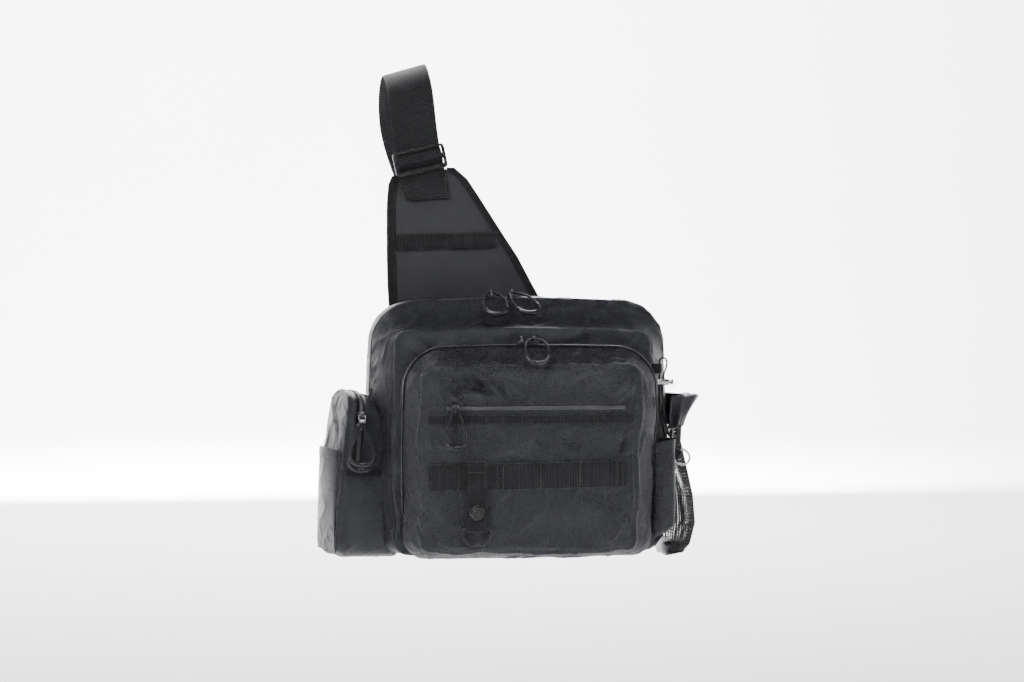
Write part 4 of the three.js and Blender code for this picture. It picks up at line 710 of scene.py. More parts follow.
def makeFaceBands():
    b = bands
    at, across, out = faceLine(b["zipFrom"], b["zipTo"], b["zipZ"], -0.5)
    band("panelZipTape", at, across, out, 4.8, 0.9, finishes["zipTape"], "zip_tape", ["panel_zip"])
    coil("panelZipCoil", at + out * 0.5, across, out)
    rows = [stitchPoints(at + across * s * 4.2 + out * 0.4, out, 3.2) for s in (-1, 1)]
    at, across, out = faceLine(b["from"], b["to"] + 5, b["facingZ"], sewGap + b["facingThickness"] / 2)
    band("zipFacingTape", at, across, out, b["facingWidth"], b["facingThickness"], finishes["webbing"],
         "webbing",
         ["zip_facing"])
    rows += [stitchPoints(at + across * s * 4.3 + out * 0.5, out, 3.0) for s in (-1, 1)]
    at, across, out = faceLine(b["from"], b["to"], b["ladderZ"], sewGap + b["ladderThickness"] / 2,
                               b["ladderRise"], 140)
    loose = loopRise(at[:, 0])
    at = at + out * loose[:, None]
    band("ladderWebbing", at, across, out, b["ladderWidth"], b["ladderThickness"], finishes["webbing"],
         "webbing",
         ["ladder_webbing"], 20)
    rows += [barTack(at, across, out, x) for x in tackPlaces]
    stitches("faceStitches", rows)


tackPlaces = (14, 44, 82, 88, 127, 167, 206, 217)


def loopRise(x):
    # The webbing lifts a little between its bar tacks: a half sine over each span
    rise = np.zeros_like(x)
    for a, b in zip(tackPlaces[:-1], tackPlaces[1:]):
        share = np.clip((x - a) / (b - a), 0, 1)
        rise += min(1.1, (b - a) * 0.03) * np.sin(math.pi * share)
    return rise


def barTack(at, across, out, x):
    # Dense short stitches in a column across the webbing, slightly zigzag
    k = np.argmin(np.abs(at[:, 0] - x))
    t = np.linspace(-0.44, 0.44, 14)[:, None] * bands["ladderWidth"]
    sway = 0.9 * np.where(np.arange(14) % 2, 1, -1)[:, None]
    line = at[k] + across[k] * t + np.array([1.0, 0, 0]) * sway + out[k] * 0.8
    return stitchPoints(line, np.tile(out[k], (14, 1)), 1.9, 2.4, 0.7)


# Ring strap, press stud and front ring

ringSize = {"x": 61, "barZ": -473, "wire": 2.7, "width": 31, "drop": 19, "strapWidth": 20,
            "strapThickness": 1.4,
            "studDiameter": 15.5, "studHeight": 2.6, "studRise": 17, "topZ": -404.5}


def ringPath(width, drop, wire):
    # Straight bar on x, round bow below it
    half, fall = (width - wire) / 2, drop - wire
    rows = np.array([[0, 0], [0.45, 0], [0.8, 0], [0.96, 0.06], [1, 0.25], [0.93, 0.55], [0.7, 0.83],
                     [0.36, 0.98]])
    right = np.column_stack([rows[:, 0] * half, -rows[:, 1] * fall])
    left = right[1:][::-1] * (-1, 1)
    return centripetal(np.vstack([right, [[0, -fall]], left]), 96, True)


def makeRingStrap():
    s = ringSize
    bar = s["wire"] / 2 + sewGap
    middle = sewGap + s["strapThickness"] + bar
    front = sewGap + bands["ladderThickness"] + 0.6 + 1.0
    turn = np.linspace(0, math.pi, 12)
    z = np.concatenate([[s["topZ"], -420, -436, -452, -464, -470], s["barZ"] - bar * np.sin(turn),
                        [-467, -447]])
    lift = np.concatenate([[front - 0.8, front, front, front - 0.6, front, middle + 0.7 * bar],
                           middle + bar * np.cos(turn), [1.7, 1.7]])
    y = pocketFaceY(np.full(len(z), s["x"]), np.maximum(z, s["barZ"])) - lift
    at = centripetal(np.stack([np.full(len(z), s["x"]), y, z], 1), 110)
    along = unit(np.gradient(at, axis=0))
    across = np.tile([1.0, 0, 0], (len(at), 1))
    out = -np.cross(across, along)
    middleAt = at + out * s["strapThickness"] / 2
    band("ringStrapWebbing", middleAt, across, out, s["strapWidth"], s["strapThickness"], finishes["webbing"],
         "webbing", ["ring_strap"], 16)
    outer = middleAt[:46] + out[:46] * 0.7
    rows = [stitchPoints(outer + across[:46] * k * 7.6, out[:46], 3.0) for k in (-1, 1)]
    tack = np.linspace(-1, 1, 10)[:, None] * across[3] * 8 + outer[4]
    rows.append(stitchPoints(tack, np.tile(out[4], (10, 1)), 1.8, 2.4, 0.7))
    stitches("ringStrapStitches", rows)
    ring = ringPath(s["width"], s["drop"], s["wire"])
    y = pocketFaceY(s["x"], s["barZ"]) - middle
    path = np.column_stack([s["x"] + ring[:, 0], np.full(len(ring), y), s["barZ"] + ring[:, 1]])
    surface("frontRingWire", tubeGrid(path, s["wire"] / 2, 20, True), finishes["gunmetal"],
            ["d_ring"],
            "front_d_ring", True)
    z = s["barZ"] + s["studRise"]
    lathe("pressStudCap", studProfile, (s["x"], pocketFaceY(s["x"], z) - front - s["strapThickness"] - 0.5, z),
          (0, -1, 0), s["studDiameter"] / 2, s["studHeight"], finishes["gunmetal"],
          ["press_stud"])


studProfile = [(0.05, 0), (0.94, 0), (1, 0.12), (1, 0.3), (0.97, 0.55), (0.88, 0.8), (0.76, 0.95), (0.66, 1),
               (0.56, 0.97),
               (0.48, 0.84), (0.4, 0.8), (0.2, 0.86), (0.05, 0.88)]


def lathe(name, profile, centre, axis, radius, height, finish, nodes=(), body="bag", sides=48):
    # Profile of (radius, height) shares turned round the axis
    up = unit(np.array(axis, float))
    side = unit(np.cross(up, np.eye(3)[np.argmin(np.abs(up))]))
    front = np.cross(up, side)
    rows = centripetal(np.array(profile) * (radius, height), 60)
    turn = np.linspace(0, 2 * math.pi, sides, endpoint=False)[None, :, None]
    ring = np.cos(turn) * side + np.sin(turn) * front
    grid = np.array(centre, float) + rows[:, None, :1] * ring + rows[:, None, 1:] * up
    return surface(name, grid, finish, nodes, body)


# Cut and cast metal keeps its frame shape, welded and with its edges rounded.

def roundedCopy(name, node, finish, radius=0.35, body="bag"):
    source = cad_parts[node]
    mesh = source.data.copy()
    mesh.name = name
    work = bpy.data.objects.new(name, mesh)
    bpy.context.scene.collection.objects.link(work)
    shape = bmesh.new()
    shape.from_mesh(mesh)
    bmesh.ops.remove_doubles(shape, verts=shape.verts, dist=0.00002)
    bmesh.ops.dissolve_limit(shape, angle_limit=math.radians(2), verts=shape.verts, edges=shape.edges)
    shape.to_mesh(mesh)
    shape.free()
    mesh.materials.clear()
    mesh.materials.append(finish)
    mesh.shade_smooth()
    bevel = work.modifiers.new("rounded", "BEVEL")
    bevel.width = radius * mm
    bevel.segments = 3
    bevel.limit_method = "ANGLE"
    bevel.angle_limit = math.radians(25)
    bevel.harden_normals = False
    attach(work, body)
    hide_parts(node)
    return work


# Sliders' pulls: a cord loop through the eye with a moulded U grip round its foot

pullSize = {"cord": 2.4, "grip": 4.8, "length": 43, "width": 29, "gripFrom": 0.335, "gripTo": 0.665}
pullRows = np.array([[0, 0], [0.16, 0.004], [0.34, 0.07], [0.56, 0.24], [0.87, 0.48], [1, 0.7], [0.86, 0.89],
                     [0.46, 0.985]])


def pullPath(at, side, hang, out, length, width, bow):
    half, fall = (width - pullSize["grip"]) / 2, length - pullSize["grip"] / 2

    def place(rows):
        x, z = rows[:, :1], rows[:, 1:]
        return at + side * x * half + hang * z * fall + out * bow * np.sin(math.pi * z)
    left = pullRows[1:][::-1] * (-1, 1)
    return centripetal(place(np.vstack([pullRows, [[0, 1]], left])), 160, True)


def makeGrip(name, path, nodes):
    # Thick round bar along the foot of the loop, its ends stepped down to the cord
    d = distances(path) / distances(path)[-1]
    inside = path[(d > pullSize["gripFrom"]) & (d < pullSize["gripTo"])]
    inside = evenly(inside, 64)
    t = np.abs(np.linspace(-1, 1, 64))
    collar = 0.14 * np.exp(-((t - 0.9) / 0.035) ** 2)
    radius = pullSize["grip"] / 2 * (0.54 + 0.52 * np.clip(1 - t ** 14, 0, 1) ** 0.5 - collar)
    surface(name, tubeGrid(inside, radius, 18), finishes["grip"], nodes)


eyeHeight = 2.4 + 1.2 + 1.05
seatLift = 0.7
pulls = [
    {"name": "main_left", "at": (88, -124, -241), "out": (0, 0, 1), "side": (1, 0, 0),
     "hang": (0.04, -0.87, -0.493), "length": 46, "width": 29, "bow": 5},
    {"name": "main_right", "at": (110, -124, -241), "out": (0, 0, 1), "side": (1, 0, 0),
     "hang": (0.36, -0.87, -0.493), "length": 46, "width": 29, "bow": 5},
    {"name": "front_pocket", "at": (124, -192, -287.5), "out": (0, 0, 1), "side": (1, 0, 0),
     "hang": (0, -0.82, -0.572), "length": 43, "width": 29, "bow": 7},
    {"name": "panel", "at": (39.5, None, -351), "out": (0, -1, 0), "side": (1, 0, 0), "hang": (0, 0, -1),
     "length": 42, "width": 24, "bow": 5},
]


def makePull(row):
    out, side = np.array(row["out"], float), np.array(row["side"], float)
    hang = unit(np.array(row["hang"], float))
    x, y, z = row["at"]
    at = np.array([x, pocketFaceY(x, z) - 0.4 if y is None else y, z])
    eye = at + out * (seatLift + eyeHeight)
    path = pullPath(eye, side, hang, out, row["length"], row["width"], row["bow"])
    name, node = row["name"], row["name"] + "_pull"
    surface(name + "PullLoop", tubeGrid(path, pullSize["cord"] / 2, 12, True), finishes["cordCover"],
            [node + "_cord"], loopRows=True)
    makeGrip(name + "PullGrip", path, [node + "_grip"])


# Side pocket on the left

sideSize = {"top": -334, "base": -508, "rear": -80, "depth": 72, "inner": -14, "reach": 22, "yaw": 16,
            "lean": 16,
            "radius": 24, "zipDepth": 0.72, "slipRise": 106}


def sideLimits(depth):
    s = sideSize
    trim = 4 * np.maximum(0, (depth - 0.82) / 0.18)
    one = np.ones_like(depth)
    return {"left": -s["rear"] + trim, "right": -s["rear"] + s["depth"] - trim,
            "top": s["top"] - 20 * (1 - depth) - trim, "base": s["base"] + trim,
            "topRadius": s["radius"] * one - trim, "baseRadius": s["radius"] * one - 6 - trim, "camber": 2}


def sidePlace(a, b, depth, lift):
    # Faces left: its outer panel turns in towards the front and leans out towards its foot
    s = sideSize
    back = 1 - (a + s["rear"]) / s["depth"]
    fall = (s["top"] - b) / (s["top"] - s["base"])
    outer = bodySize["left"] - s["reach"] - s["yaw"] * back - s["lean"] * np.sin(math.pi / 2 * fall)
    return np.stack([s["inner"] + (outer - s["inner"]) * depth - lift, -a, b], -1)


sideForm = {"limits": sideLimits, "place": sidePlace, "bulge": 4, "depth": 46,
            "steps": {"side": 58, "arc": 16, "top": 30}}
sideCreases = [(120, -360, 140, -388, 4, -1.8), (96, -350, 118, -372, 5, 1.6), (130, -396, 148, -404, 3.5, 1.2)]


def sideZipRange():
    steps = sideForm["steps"]
    return int(steps["side"] * 0.4), int(steps["side"] * 1.4 + 2 * steps["arc"] + steps["top"])


def makeSidePocket():
    s = sideSize
    depth = np.concatenate([np.zeros(3), np.linspace(0, 0.82, 44), np.linspace(0.82, 1, 9)[1:], np.ones(34)])
    reach = np.concatenate([[0.5, 0.8, 0.95], np.ones(52), np.linspace(0.985, 0.06, 34)])
    grid, flat = pouchRings(sideForm, depth, reach)
    d, r = depth[:, None], reach[:, None]
    amount = crumple(flat, 22, 21) * 0.75 + creases(flat, sideCreases) * ease(d, 0.6, 0.9)
    seam = np.exp(-((d - 0.97) / 0.02) ** 2) * (r > 0.99)
    amount = amount * (1 - seam) + 1.1 * seam
    first, last = sideZipRange()
    onZip = np.zeros(grid.shape[1])
    onZip[first - 2:last + 3] = 1
    slot = np.exp(-((d - s["zipDepth"]) * 46 / 4.2) ** 6) * onZip * (r > 0.99)
    amount = amount * (1 - slot) - 1.7 * slot
    surface("sidePocketCloth", pushOut(grid, amount), finishes["bodyNylon"], ["side_pocket"],
            flat=flat)
    makeSlipPocket()


def makeSlipPocket():
    # Sheet over the outer panel, bowed out most at its open hem; a folded hem thickens its top
    s = sideSize
    u = np.linspace(0, 1, 44)[None]
    v = np.linspace(0, 1, 60)[:, None]
    base, top = s["base"] + 4, s["base"] + 4 + s["slipRise"]
    a = -s["rear"] + 5 + (s["depth"] - 10) * u + 0 * v
    b = base + (top - base) * v + 3 * np.sin(math.pi * u) * v
    round1 = np.clip(1 - ((1 - v) * 1.0) ** 6, 0, 1)
    swell = (2.5 + 8.5 * v ** 1.4) * round1 * ease(v, -0.1, 0.35)
    bow = np.sin(math.pi * u) ** 0.6 * swell + 1.2 * ease(v, -0.02, 0.1)
    flat = np.stack([a, b + 0 * a], -1)
    wrinkle = crumple(flat, 20, 31) * 0.9 * np.sin(math.pi * u) * (1 - 0.6 * v)
    hem = 0.6 * ease(v, 0.9, 0.93)
    outer = sidePlace(a, b, 1, bow + wrinkle + hem)
    inner = sidePlace(a, b, 1, bow + wrinkle - 1.0 - 0 * hem)
    grid = np.concatenate([outer, inner[:, ::-1]], 1)
    surface("slipPocketCloth", grid, finishes["pocketNylon"], ["slip_pocket"])
    line = outer[55] + (-0.3, 0, 0)
    stitches("slipStitches", [stitchPoints(line, np.tile([-1.0, 0, 0], (44, 1)), 3.0),
                              stitchPoints(outer[53] + (-0.3, 0, 0), np.tile([-1.0, 0, 0], (44, 1)), 3.0)])


def makeSideHardware():
    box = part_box("side_zip_end")
    low, high = (np.array(c) / mm for c in box)
    middle, size = (low + high) / 2, high - low
    count = 24
    x = np.linspace(low[0] + 1, high[0] - 1, count)
    at = np.column_stack([x, np.full(count, low[1] + 1.2), np.full(count, middle[2])])
    across, out = np.tile([0.0, 0, 1], (count, 1)), np.tile([0.0, -1, 0], (count, 1))
    band("sideZipEndTape", at, across, out, size[2], 1.6, finishes["webbing"], "webbing", ["side_zip_end"])
    stitches("sideZipEndStitches", [stitchPoints(at + across * k * 3.4 + out * 0.9, out, 2.8) for k in (-1, 1)])
    for key in ("upper", "lower"):
        makeSidePull(key)


def makeSidePull(key):
    # These two loops keep the frame's own line, found from the middle of their grips
    s = sideSize
    if key == "lower":
        foot = sidePlace(np.array(-s["rear"] + s["depth"]), np.array(-373.0), s["zipDepth"], 0)
        at = foot + (0, -1.95, 0)
        out = np.array([0.0, -1, 0])
        path = pullPath(at + out * (seatLift + eyeHeight), np.array([1.0, 0, 0]), np.array([0.0, 0, -1]), out,
                        47, 29, 3)
        surface("lowerPullLoop", tubeGrid(path, pullSize["cord"] / 2, 12, True), finishes["cordCover"],
                ["side_lower_pull_cord"], loopRows=True)
        makeGrip("lowerPullGrip", path, ["side_lower_pull_grip"])
        return
    foot = sidePlace(np.array(-s["rear"] + s["depth"]), np.array(-361.0), s["zipDepth"], 0)
    top = foot + (0, -1.35 - 0.9 - eyeHeight, -0.6)
    lean = math.radians(36)
    hang = np.array([0, -math.sin(lean), -math.cos(lean)])
    start = top + hang * (11 - 0.8 + 0.9)
    rows = np.array([[0.14, 0], [0.2, 0.12], [0.52, 0.32], [0.9, 0.56], [1, 0.74], [0.86, 0.9], [0.46, 0.985]])
    rows = np.vstack([rows, [[0, 1]], rows[::-1] * (-1, 1)])
    half, fall = (pullSize["width"] - pullSize["grip"]) / 2, pullSize["length"] - pullSize["grip"] / 2
    x, z = rows[:, 0], rows[:, 1]
    points = start + np.stack([x * half, -3 * np.sin(math.pi / 2 * z), -z * fall], 1)
    path = centripetal(points, 150)
    surface("upperPullLoop", tubeGrid(path, pullSize["cord"] / 2, 12), finishes["cordCover"],
            ["side_upper_pull_cord"])
    makeGrip("upperPullGrip", path, ["side_upper_pull_grip"])


# Right side: net bottle pocket with its collar, sheath, lock, tabs and ring

netSize = {"base": -512, "height": 136, "middle": -115, "depth": 74, "reach": 36, "root": 270, "cell": 3.3,
           "yarn": 0.85, "collarBase": -375.7, "collarHeight": 32}
netRows = np.array([(0, 0.2, 0.6), (0.02, 0.62, 0.86), (0.08, 0.84, 0.96), (0.24, 1, 1), (0.46, 0.93, 1),
                    (0.68, 0.74, 0.96), (0.88, 0.56, 0.9), (1, 0.58, 0.9)])
collarRows = np.array([(0, 0.6, 0.9), (0.5, 0.84, 0.95), (1, 1.08, 1)])


def bellyPoint(rows, rise, angle, grow=0):
    # D-shaped ring round the right side: x grows with sin^0.7, y with cos
    s = netSize
    reach, spread = (np.interp(rise, rows[:, 0], rows[:, k]) for k in (1, 2))
    out = np.clip(np.sin(angle), 0, 1) ** 0.7 * (s["reach"] * reach + grow)
    y = s["middle"] + np.cos(angle) * (s["depth"] / 2 * spread + grow)
    return np.stack([s["root"] + out, y], -1)


def makeNet():
    # Diamond cells on the belly, thickened into yarns by a wireframe
    s = netSize
    columns = int(118 / s["cell"])
    levels = int(s["height"] / (s["cell"] * 0.5))
    j, i = np.meshgrid(np.arange(levels + 1), np.arange(columns + 1), indexing="ij")
    u = (i + 0.5 * (j % 2)) / (columns + 0.5)
    v = j / levels
    xy = bellyPoint(netRows, v, math.pi * (0.02 + 0.96 * u))
    points = np.concatenate([xy, (s["base"] + s["height"] * v)[..., None]], -1)
    jj, ii = np.meshgrid(np.arange(levels - 1), np.arange(columns), indexing="ij")
    odd = jj % 2
    width = columns + 1
    low, high = jj * width + ii + odd, (jj + 2) * width + ii + odd
    left, right = (jj + 1) * width + ii, (jj + 1) * width + ii + 1
    ok = (ii + odd <= columns) & (ii + 1 <= columns)
    faces = np.stack([low, right, high, left], -1)[ok]
    flat = points.reshape(-1, 3)
    piece = addPiece("bottleNetYarns", flat, faces.tolist(), flat[faces.ravel()][:, (1, 2)],
                     finishes["netYarn"],
                     ["bottle_net"])
    wire = piece.modifiers.new("yarns", "WIREFRAME")
    wire.thickness = s["yarn"] * mm
    wire.use_replace = True
    wire.use_boundary = True
    rims = []
    for rise, radius in ((0.03, 1.3), (1.0, 1.5)):
        angle = np.linspace(0.03, math.pi - 0.03, 90)
        height = np.full(90, s["base"] + s["height"] * rise)
        ring = np.column_stack([bellyPoint(netRows, np.full(90, rise), angle), height])
        rims.append(tubeGrid(ring, radius, 10))
    for k, grid in enumerate(rims):
        surface("bottleNetRim%d" % k, grid, finishes["binding"])
    makeNetFoot()


def makeNetFoot():
    # Cloth cup that closes the foot of the net
    s = netSize
    rise = np.array([0.004, 0.012, 0.025, 0.05, 0.08, 0.1])[:, None]
    angle = np.linspace(0, math.pi, 70)[None]
    xy = bellyPoint(netRows, rise + 0 * angle, angle + 0 * rise, -0.8)
    z = s["base"] + s["height"] * rise + 0.6 * np.sin(9 * angle)
    surface("bottleNetFoot", np.concatenate([xy, z[..., None]], -1), finishes["pocketNylon"])


def makeCollar():
    # Gathered sleeve: pleats of sin(n angle) fade towards its drawn top
    s = netSize
    u = np.linspace(0, 1, 150)[None]
    v = np.linspace(0, 1, 40)[:, None]
    angle = math.pi * (0.01 + 0.98 * u) + 0 * v
    gathers = 1.6 * np.sin(angle * 17 + 2 * np.sin(angle * 4)) * (1 - 0.5 * v) + 1.2 * np.sin(angle * 5 + 4 * v)
    sheets = []
    for shift in (0, -1.4):
        xy = bellyPoint(collarRows, v + 0 * u, angle, gathers + shift)
        z = s["collarBase"] + s["collarHeight"] * v + 0.8 * np.sin(angle * 9)
        sheets.append(np.concatenate([xy, z[..., None]], -1))
    surface("bottleCollarCloth", np.concatenate([sheets[0], sheets[1][:, ::-1]], 1), finishes["bodyNylon"],
            ["bottle_collar"])


sheathSize = {"left": 249, "width": 25, "front": -178, "depth": 30, "base": -491, "height": 100}


def makeSheath():
    # Flat sleeve with a rounded front edge; its mouth gapes a little at the top
    s = sheathSize
    v = np.linspace(0, 1, 70)
    swell = np.interp(v, [0, 0.04, 0.3, 0.62, 1], [-2.5, 0, 1.2, 0.8, 0])
    lim = {"left": np.full(70, s["left"]), "right": s["left"] + s["width"] + swell, "base": s["front"] - swell,
           "top": np.full(70, s["front"] + s["depth"]), "topRadius": np.full(70, 4.0),
           "baseRadius": np.full(70, 6.0),
           "camber": 0}
    x, y = roundedOutline(lim, {"side": 22, "arc": 10, "top": 26})
    slant = (x - s["left"]) / s["width"] * (11 + (4 - 11) * v[:, None])
    z = s["base"] + s["height"] * v[:, None] + slant
    outer = np.stack([x, y, z], -1)
    flat = np.stack([x - y, z], -1)
    amount = crumple(flat, 20, 41) * 0.7 * (1 - 0.7 * v[:, None]) + 0.5 * ease(v[:, None], 0.94, 0.96)
    outer = pushOut(outer, amount)
    centre = outer.mean(1, keepdims=True)
    inner = outer + (centre - outer) * 0.13
    inner[..., 2] = outer[..., 2]
    grid = np.concatenate([outer, inner[::-1][:66]], 0)
    surface("toolSheathCloth", grid, finishes["pocketNylon"], ["tool_sheath"])
    rim = outer[64]
    stitches("sheathStitches", [stitchPoints(outer[k][20:60], unit(outer[k][20:60] - rim.mean(0)), 3.0)
                                for k in (60, 64)])


drawcordDiameter = 2
loopTurn = math.pi * (1 - np.arange(7)[:, None] / 6)
drawcordPoints = np.vstack([
    [(268, -153, -385.7), (264, -158, -373.7), (260, -164, -357.7), (259, -166, -340), (259, -166, -328),
     (259, -166, -318)],
    (263, -166, -307) + 2 * drawcordDiameter * np.hstack([np.cos(loopTurn), 0 * loopTurn, np.sin(loopTurn)]),
    [(266.4, -166, -312.5), (264, -166, -319.5), (262.6, -166, -328), (262.6, -166, -340), (264.2, -164,
                                                                                            -357.7),
     (268.2, -158, -373.7), (271.8, -153, -384.7)]])


def makeDrawcord(lockPieces):
    path = centripetal(drawcordPoints, 220)
    piece = surface("drawcordCover", tubeGrid(path, drawcordDiameter / 2, 12), finishes["cordCover"],
                    ["drawcord"])


def makeLock():
    body = roundedCopy("cordLockBody", "cord_lock", finishes["nickel"], 0.5)
    button = roundedCopy("cordLockButton", "lock_button", finishes["nickel"], 0.4,
                         "lock_plunger")
    return [body, button]


def foldedTab(name, bar, barAxis, away, reach, width, hole, thickness, nodes):
    # Webbing folded round a bar: out along one side, half a turn, and back along the other
    barAxis, away, bar = unit(np.array(barAxis, float)), unit(np.array(away, float)), np.array(bar, float)
    lift = unit(np.cross(barAxis, away))
    inner = hole / 2 + sewGap + thickness / 2
    turn = np.linspace(math.pi / 2, -math.pi / 2, 14)[:, None]
    bend = bar + away * inner * np.cos(turn) + lift * inner * np.sin(turn)
    path = np.vstack([bar - away * reach + lift * inner, bend, bar - away * reach - lift * inner])
    path = evenly(path, 60)
    along = unit(np.gradient(path, axis=0))
    out = unit(np.cross(barAxis, along))
    across = np.tile(barAxis, (60, 1))
    band(name, path, across, out, width, thickness, finishes["webbing"], "webbing", nodes, 10)


sideRingSize = {"at": (281, -156, -405), "axis": (0.49, 0, 0.872), "width": 18, "drop": 15, "wire": 2.2}


def makeSideRing():
    s = sideRingSize
    axis = unit(np.array(s["axis"], float))
    hang = np.array([axis[2], 0, -axis[0]])
    ring = ringPath(s["width"], s["drop"], s["wire"])
    path = np.array(s["at"], float) + ring[:, :1] * axis - ring[:, 1:] * hang
    surface("sideRingWire", tubeGrid(path, s["wire"] / 2, 18, True), finishes["nickel"],
            ["side_ring"],
            "side_drop_ring", True)
    foldedTab("sideRingTabWebbing", s["at"], axis, hang, 16, 11, s["wire"], 1.4, ["side_ring_tab"])
    foldedTab("cordTabWebbing", (259, -166, -314), (0, 0, 1), (0.94, -0.34, 0), 13, 10, drawcordDiameter, 1.4,
              ["cord_tab"])


# Shoulder panel, its bindings and band

panelSize = {"left": -14, "base": 160, "foot": -258, "length": 150, "rear": -73.4, "lean": 10, "thickness": 5,
             "edge": 2.5, "binding": 10, "bindingThickness": 1, "bandRise": 0.51, "bandSlope": 4,
             "bandWidth": 18,
             "bandThickness": 1.4}
panelRows = np.array([(0, 0, 1.03, 0), (0.093, -0.006, 1.01, 0), (0.2, -0.012, 0.955, 0), (0.4, -0.015, 0.856,
                                                                                           0),
                      (0.573, -0.015, 0.75, 0), (0.787, -0.012, 0.62, 2), (0.93, 0, 0.525, 6), (1, 0.025,
                                                                                                0.44, 9)])


def panelFrontAt(z):
    s = panelSize
    return s["rear"] + s["lean"] * np.clip((z - s["foot"]) / s["length"], 0, None) ** 2


def makePanel():
    # Pillow whose thickness swells as a half sine between flat margins, lightly quilted by its slack
    s = panelSize
    rise = np.linspace(0, 1, 90)[:, None]
    left, right, tilt = (np.interp(rise, panelRows[:, 0], panelRows[:, k]) for k in (1, 2, 3))
    left, right = s["left"] + s["base"] * left + 1.3, s["left"] + s["base"] * right - 1.3
    u = np.linspace(0, 1, 70)[None]
    x = left + (right - left) * u
    z = s["foot"] + rise * s["length"] + tilt * (u - 0.5)
    inside = np.clip((x - left - s["binding"]) / (right - left - 2 * s["binding"]), 0, 1)
    fat = s["edge"] + (s["thickness"] - s["edge"]) * np.sin(math.pi * inside)
    flat = np.stack([x, z], -1)
    slack = crumple(flat, 34, 51) * 0.35 * np.sin(math.pi * inside)
    swell = 0.9 * np.sin(math.pi * inside) * (1 - np.exp(-((z + 182) / 7) ** 2))
    front = np.stack([x, panelFrontAt(z) - swell - slack, z], -1)
    back = np.stack([x, panelFrontAt(z) + fat, z], -1)
    grid = np.concatenate([front, back[:, ::-1]], 1)
    flatGrid = np.concatenate([flat, flat[:, ::-1]], 1)
    piece = surface("shoulderPanelCloth", grid, finishes["panelNylon"], ["shoulder_panel"],
                    flat=flatGrid)
    inflate(piece)


padding = {"voxel": 1.7, "pressure": 4.0, "frames": 20, "cap": 3.5, "margin": 12, "bandHalf": 10}


def inflate(piece):
    # The foam swells in a cloth simulation, held at its sewn margins and under the band; no point
    # moves further than the cap.
    s = padding
    remesh = piece.modifiers.new("even", "REMESH")
    remesh.mode = "VOXEL"
    remesh.voxel_size = s["voxel"] * mm
    piece.data = evaluatedCopy(piece)
    piece.modifiers.clear()
    rest = pointsOf(piece.data)
    hold = piece.vertex_groups.new(name="sewn")
    hold.add(np.flatnonzero(sewnDown(rest / mm)).tolist(), 1.0, "REPLACE")
    cloth = piece.modifiers.new("foam", "CLOTH")
    cloth.settings.vertex_group_mass = "sewn"
    cloth.settings.use_pressure = True
    cloth.settings.uniform_pressure_force = s["pressure"]
    cloth.settings.effector_weights.gravity = 0
    cloth.point_cache.frame_end = s["frames"]
    scene = bpy.context.scene
    for number in range(1, s["frames"] + 1):
        scene.frame_set(number)
    moved = pointsOf(evaluatedCopy(piece)) - rest
    far = np.linalg.norm(moved, axis=1, keepdims=True)
    moved *= np.minimum(1, s["cap"] * mm / np.maximum(far, 1e-9))
    piece.modifiers.clear()
    scene.frame_set(1)
    place = rest + moved
    piece.data.vertices.foreach_set("co", place.ravel())
    loops = np.empty(len(piece.data.loops), int)
    piece.data.loops.foreach_get("vertex_index", loops)
    uv = piece.data.uv_layers.new(name="cloth")
    uv.data.foreach_set("uv", (place[loops][:, (0, 2)] / mm).ravel())
    piece.data.shade_smooth()
    smooth = piece.modifiers.new("smooth", "SUBSURF")
    smooth.levels = smooth.render_levels = 1


def evaluatedCopy(piece):
    bpy.context.view_layer.update()
    graph = bpy.context.evaluated_depsgraph_get()
    return bpy.data.meshes.new_from_object(piece.evaluated_get(graph))


def pointsOf(mesh):
    flat = np.empty(3 * len(mesh.vertices))
    mesh.vertices.foreach_get("co", flat)
    return flat.reshape(-1, 3)


def sewnDown(p):
    s = panelSize
    rise = (p[:, 2] - s["foot"]) / s["length"]
    left, right = (np.interp(rise, panelRows[:, 0], panelRows[:, k]) * s["base"] + s["left"] for k in (1, 2))
    inside = np.minimum(p[:, 0] - left, right - p[:, 0])
    band = np.abs(p[:, 2] - s["foot"] - s["bandRise"] * s["length"]) < padding["bandHalf"]
    behind = p[:, 1] > panelFrontAt(p[:, 2]) + 1.2
    return (inside < padding["margin"]) | band | (rise > 0.72) | (rise < 0.12) | behind


def makeBinding(name, column, sign, node):
    # Tape folded round one slanted edge: front leaf, half turn, back leaf
    s = panelSize
    rise = np.linspace(0, 1, 80)
    share, tilt = (np.interp(rise, panelRows[:, 0], panelRows[:, k]) for k in (column, 3))
    z = s["foot"] + rise * s["length"] - tilt * sign * 0.5
    at = np.column_stack([s["left"] + s["base"] * share, panelFrontAt(z), z])
    back, lap, thick = s["edge"] + sewGap, s["binding"] - 1, s["bindingThickness"]
    turn = np.linspace(-math.pi / 2, math.pi / 2, 10)
    middle, radius = (back - sewGap) / 2, (back + sewGap + thick) / 2
    bend = np.column_stack([thick / 2 + 0.6 - 0.8 * np.cos(turn) * 1.0, middle + radius * np.sin(turn)])
    leaf = np.linspace(lap, 1.6, 10)
    line = np.vstack([np.column_stack([leaf, np.full(10, -sewGap - thick / 2)]), bend,
                      np.column_stack([leaf[::-1], np.full(10, back + thick / 2)])])
    normal = unit(np.gradient(line, axis=0))[:, ::-1] * (1, -1)
    wall = np.vstack([line + normal * thick / 2, (line - normal * thick / 2)[::-1]])
    grid = at[:, None] + np.stack([wall[:, 0] * sign, wall[:, 1], 0 * wall[:, 0]], -1)[None]
    surface(name, grid, finishes["binding"], [node])
    seam = at + np.array([sign * (lap - 1.6), -sewGap - thick, 0])
    return [stitchPoints(seam, np.tile([0.0, -1, 0], (80, 1)), 3.0)]


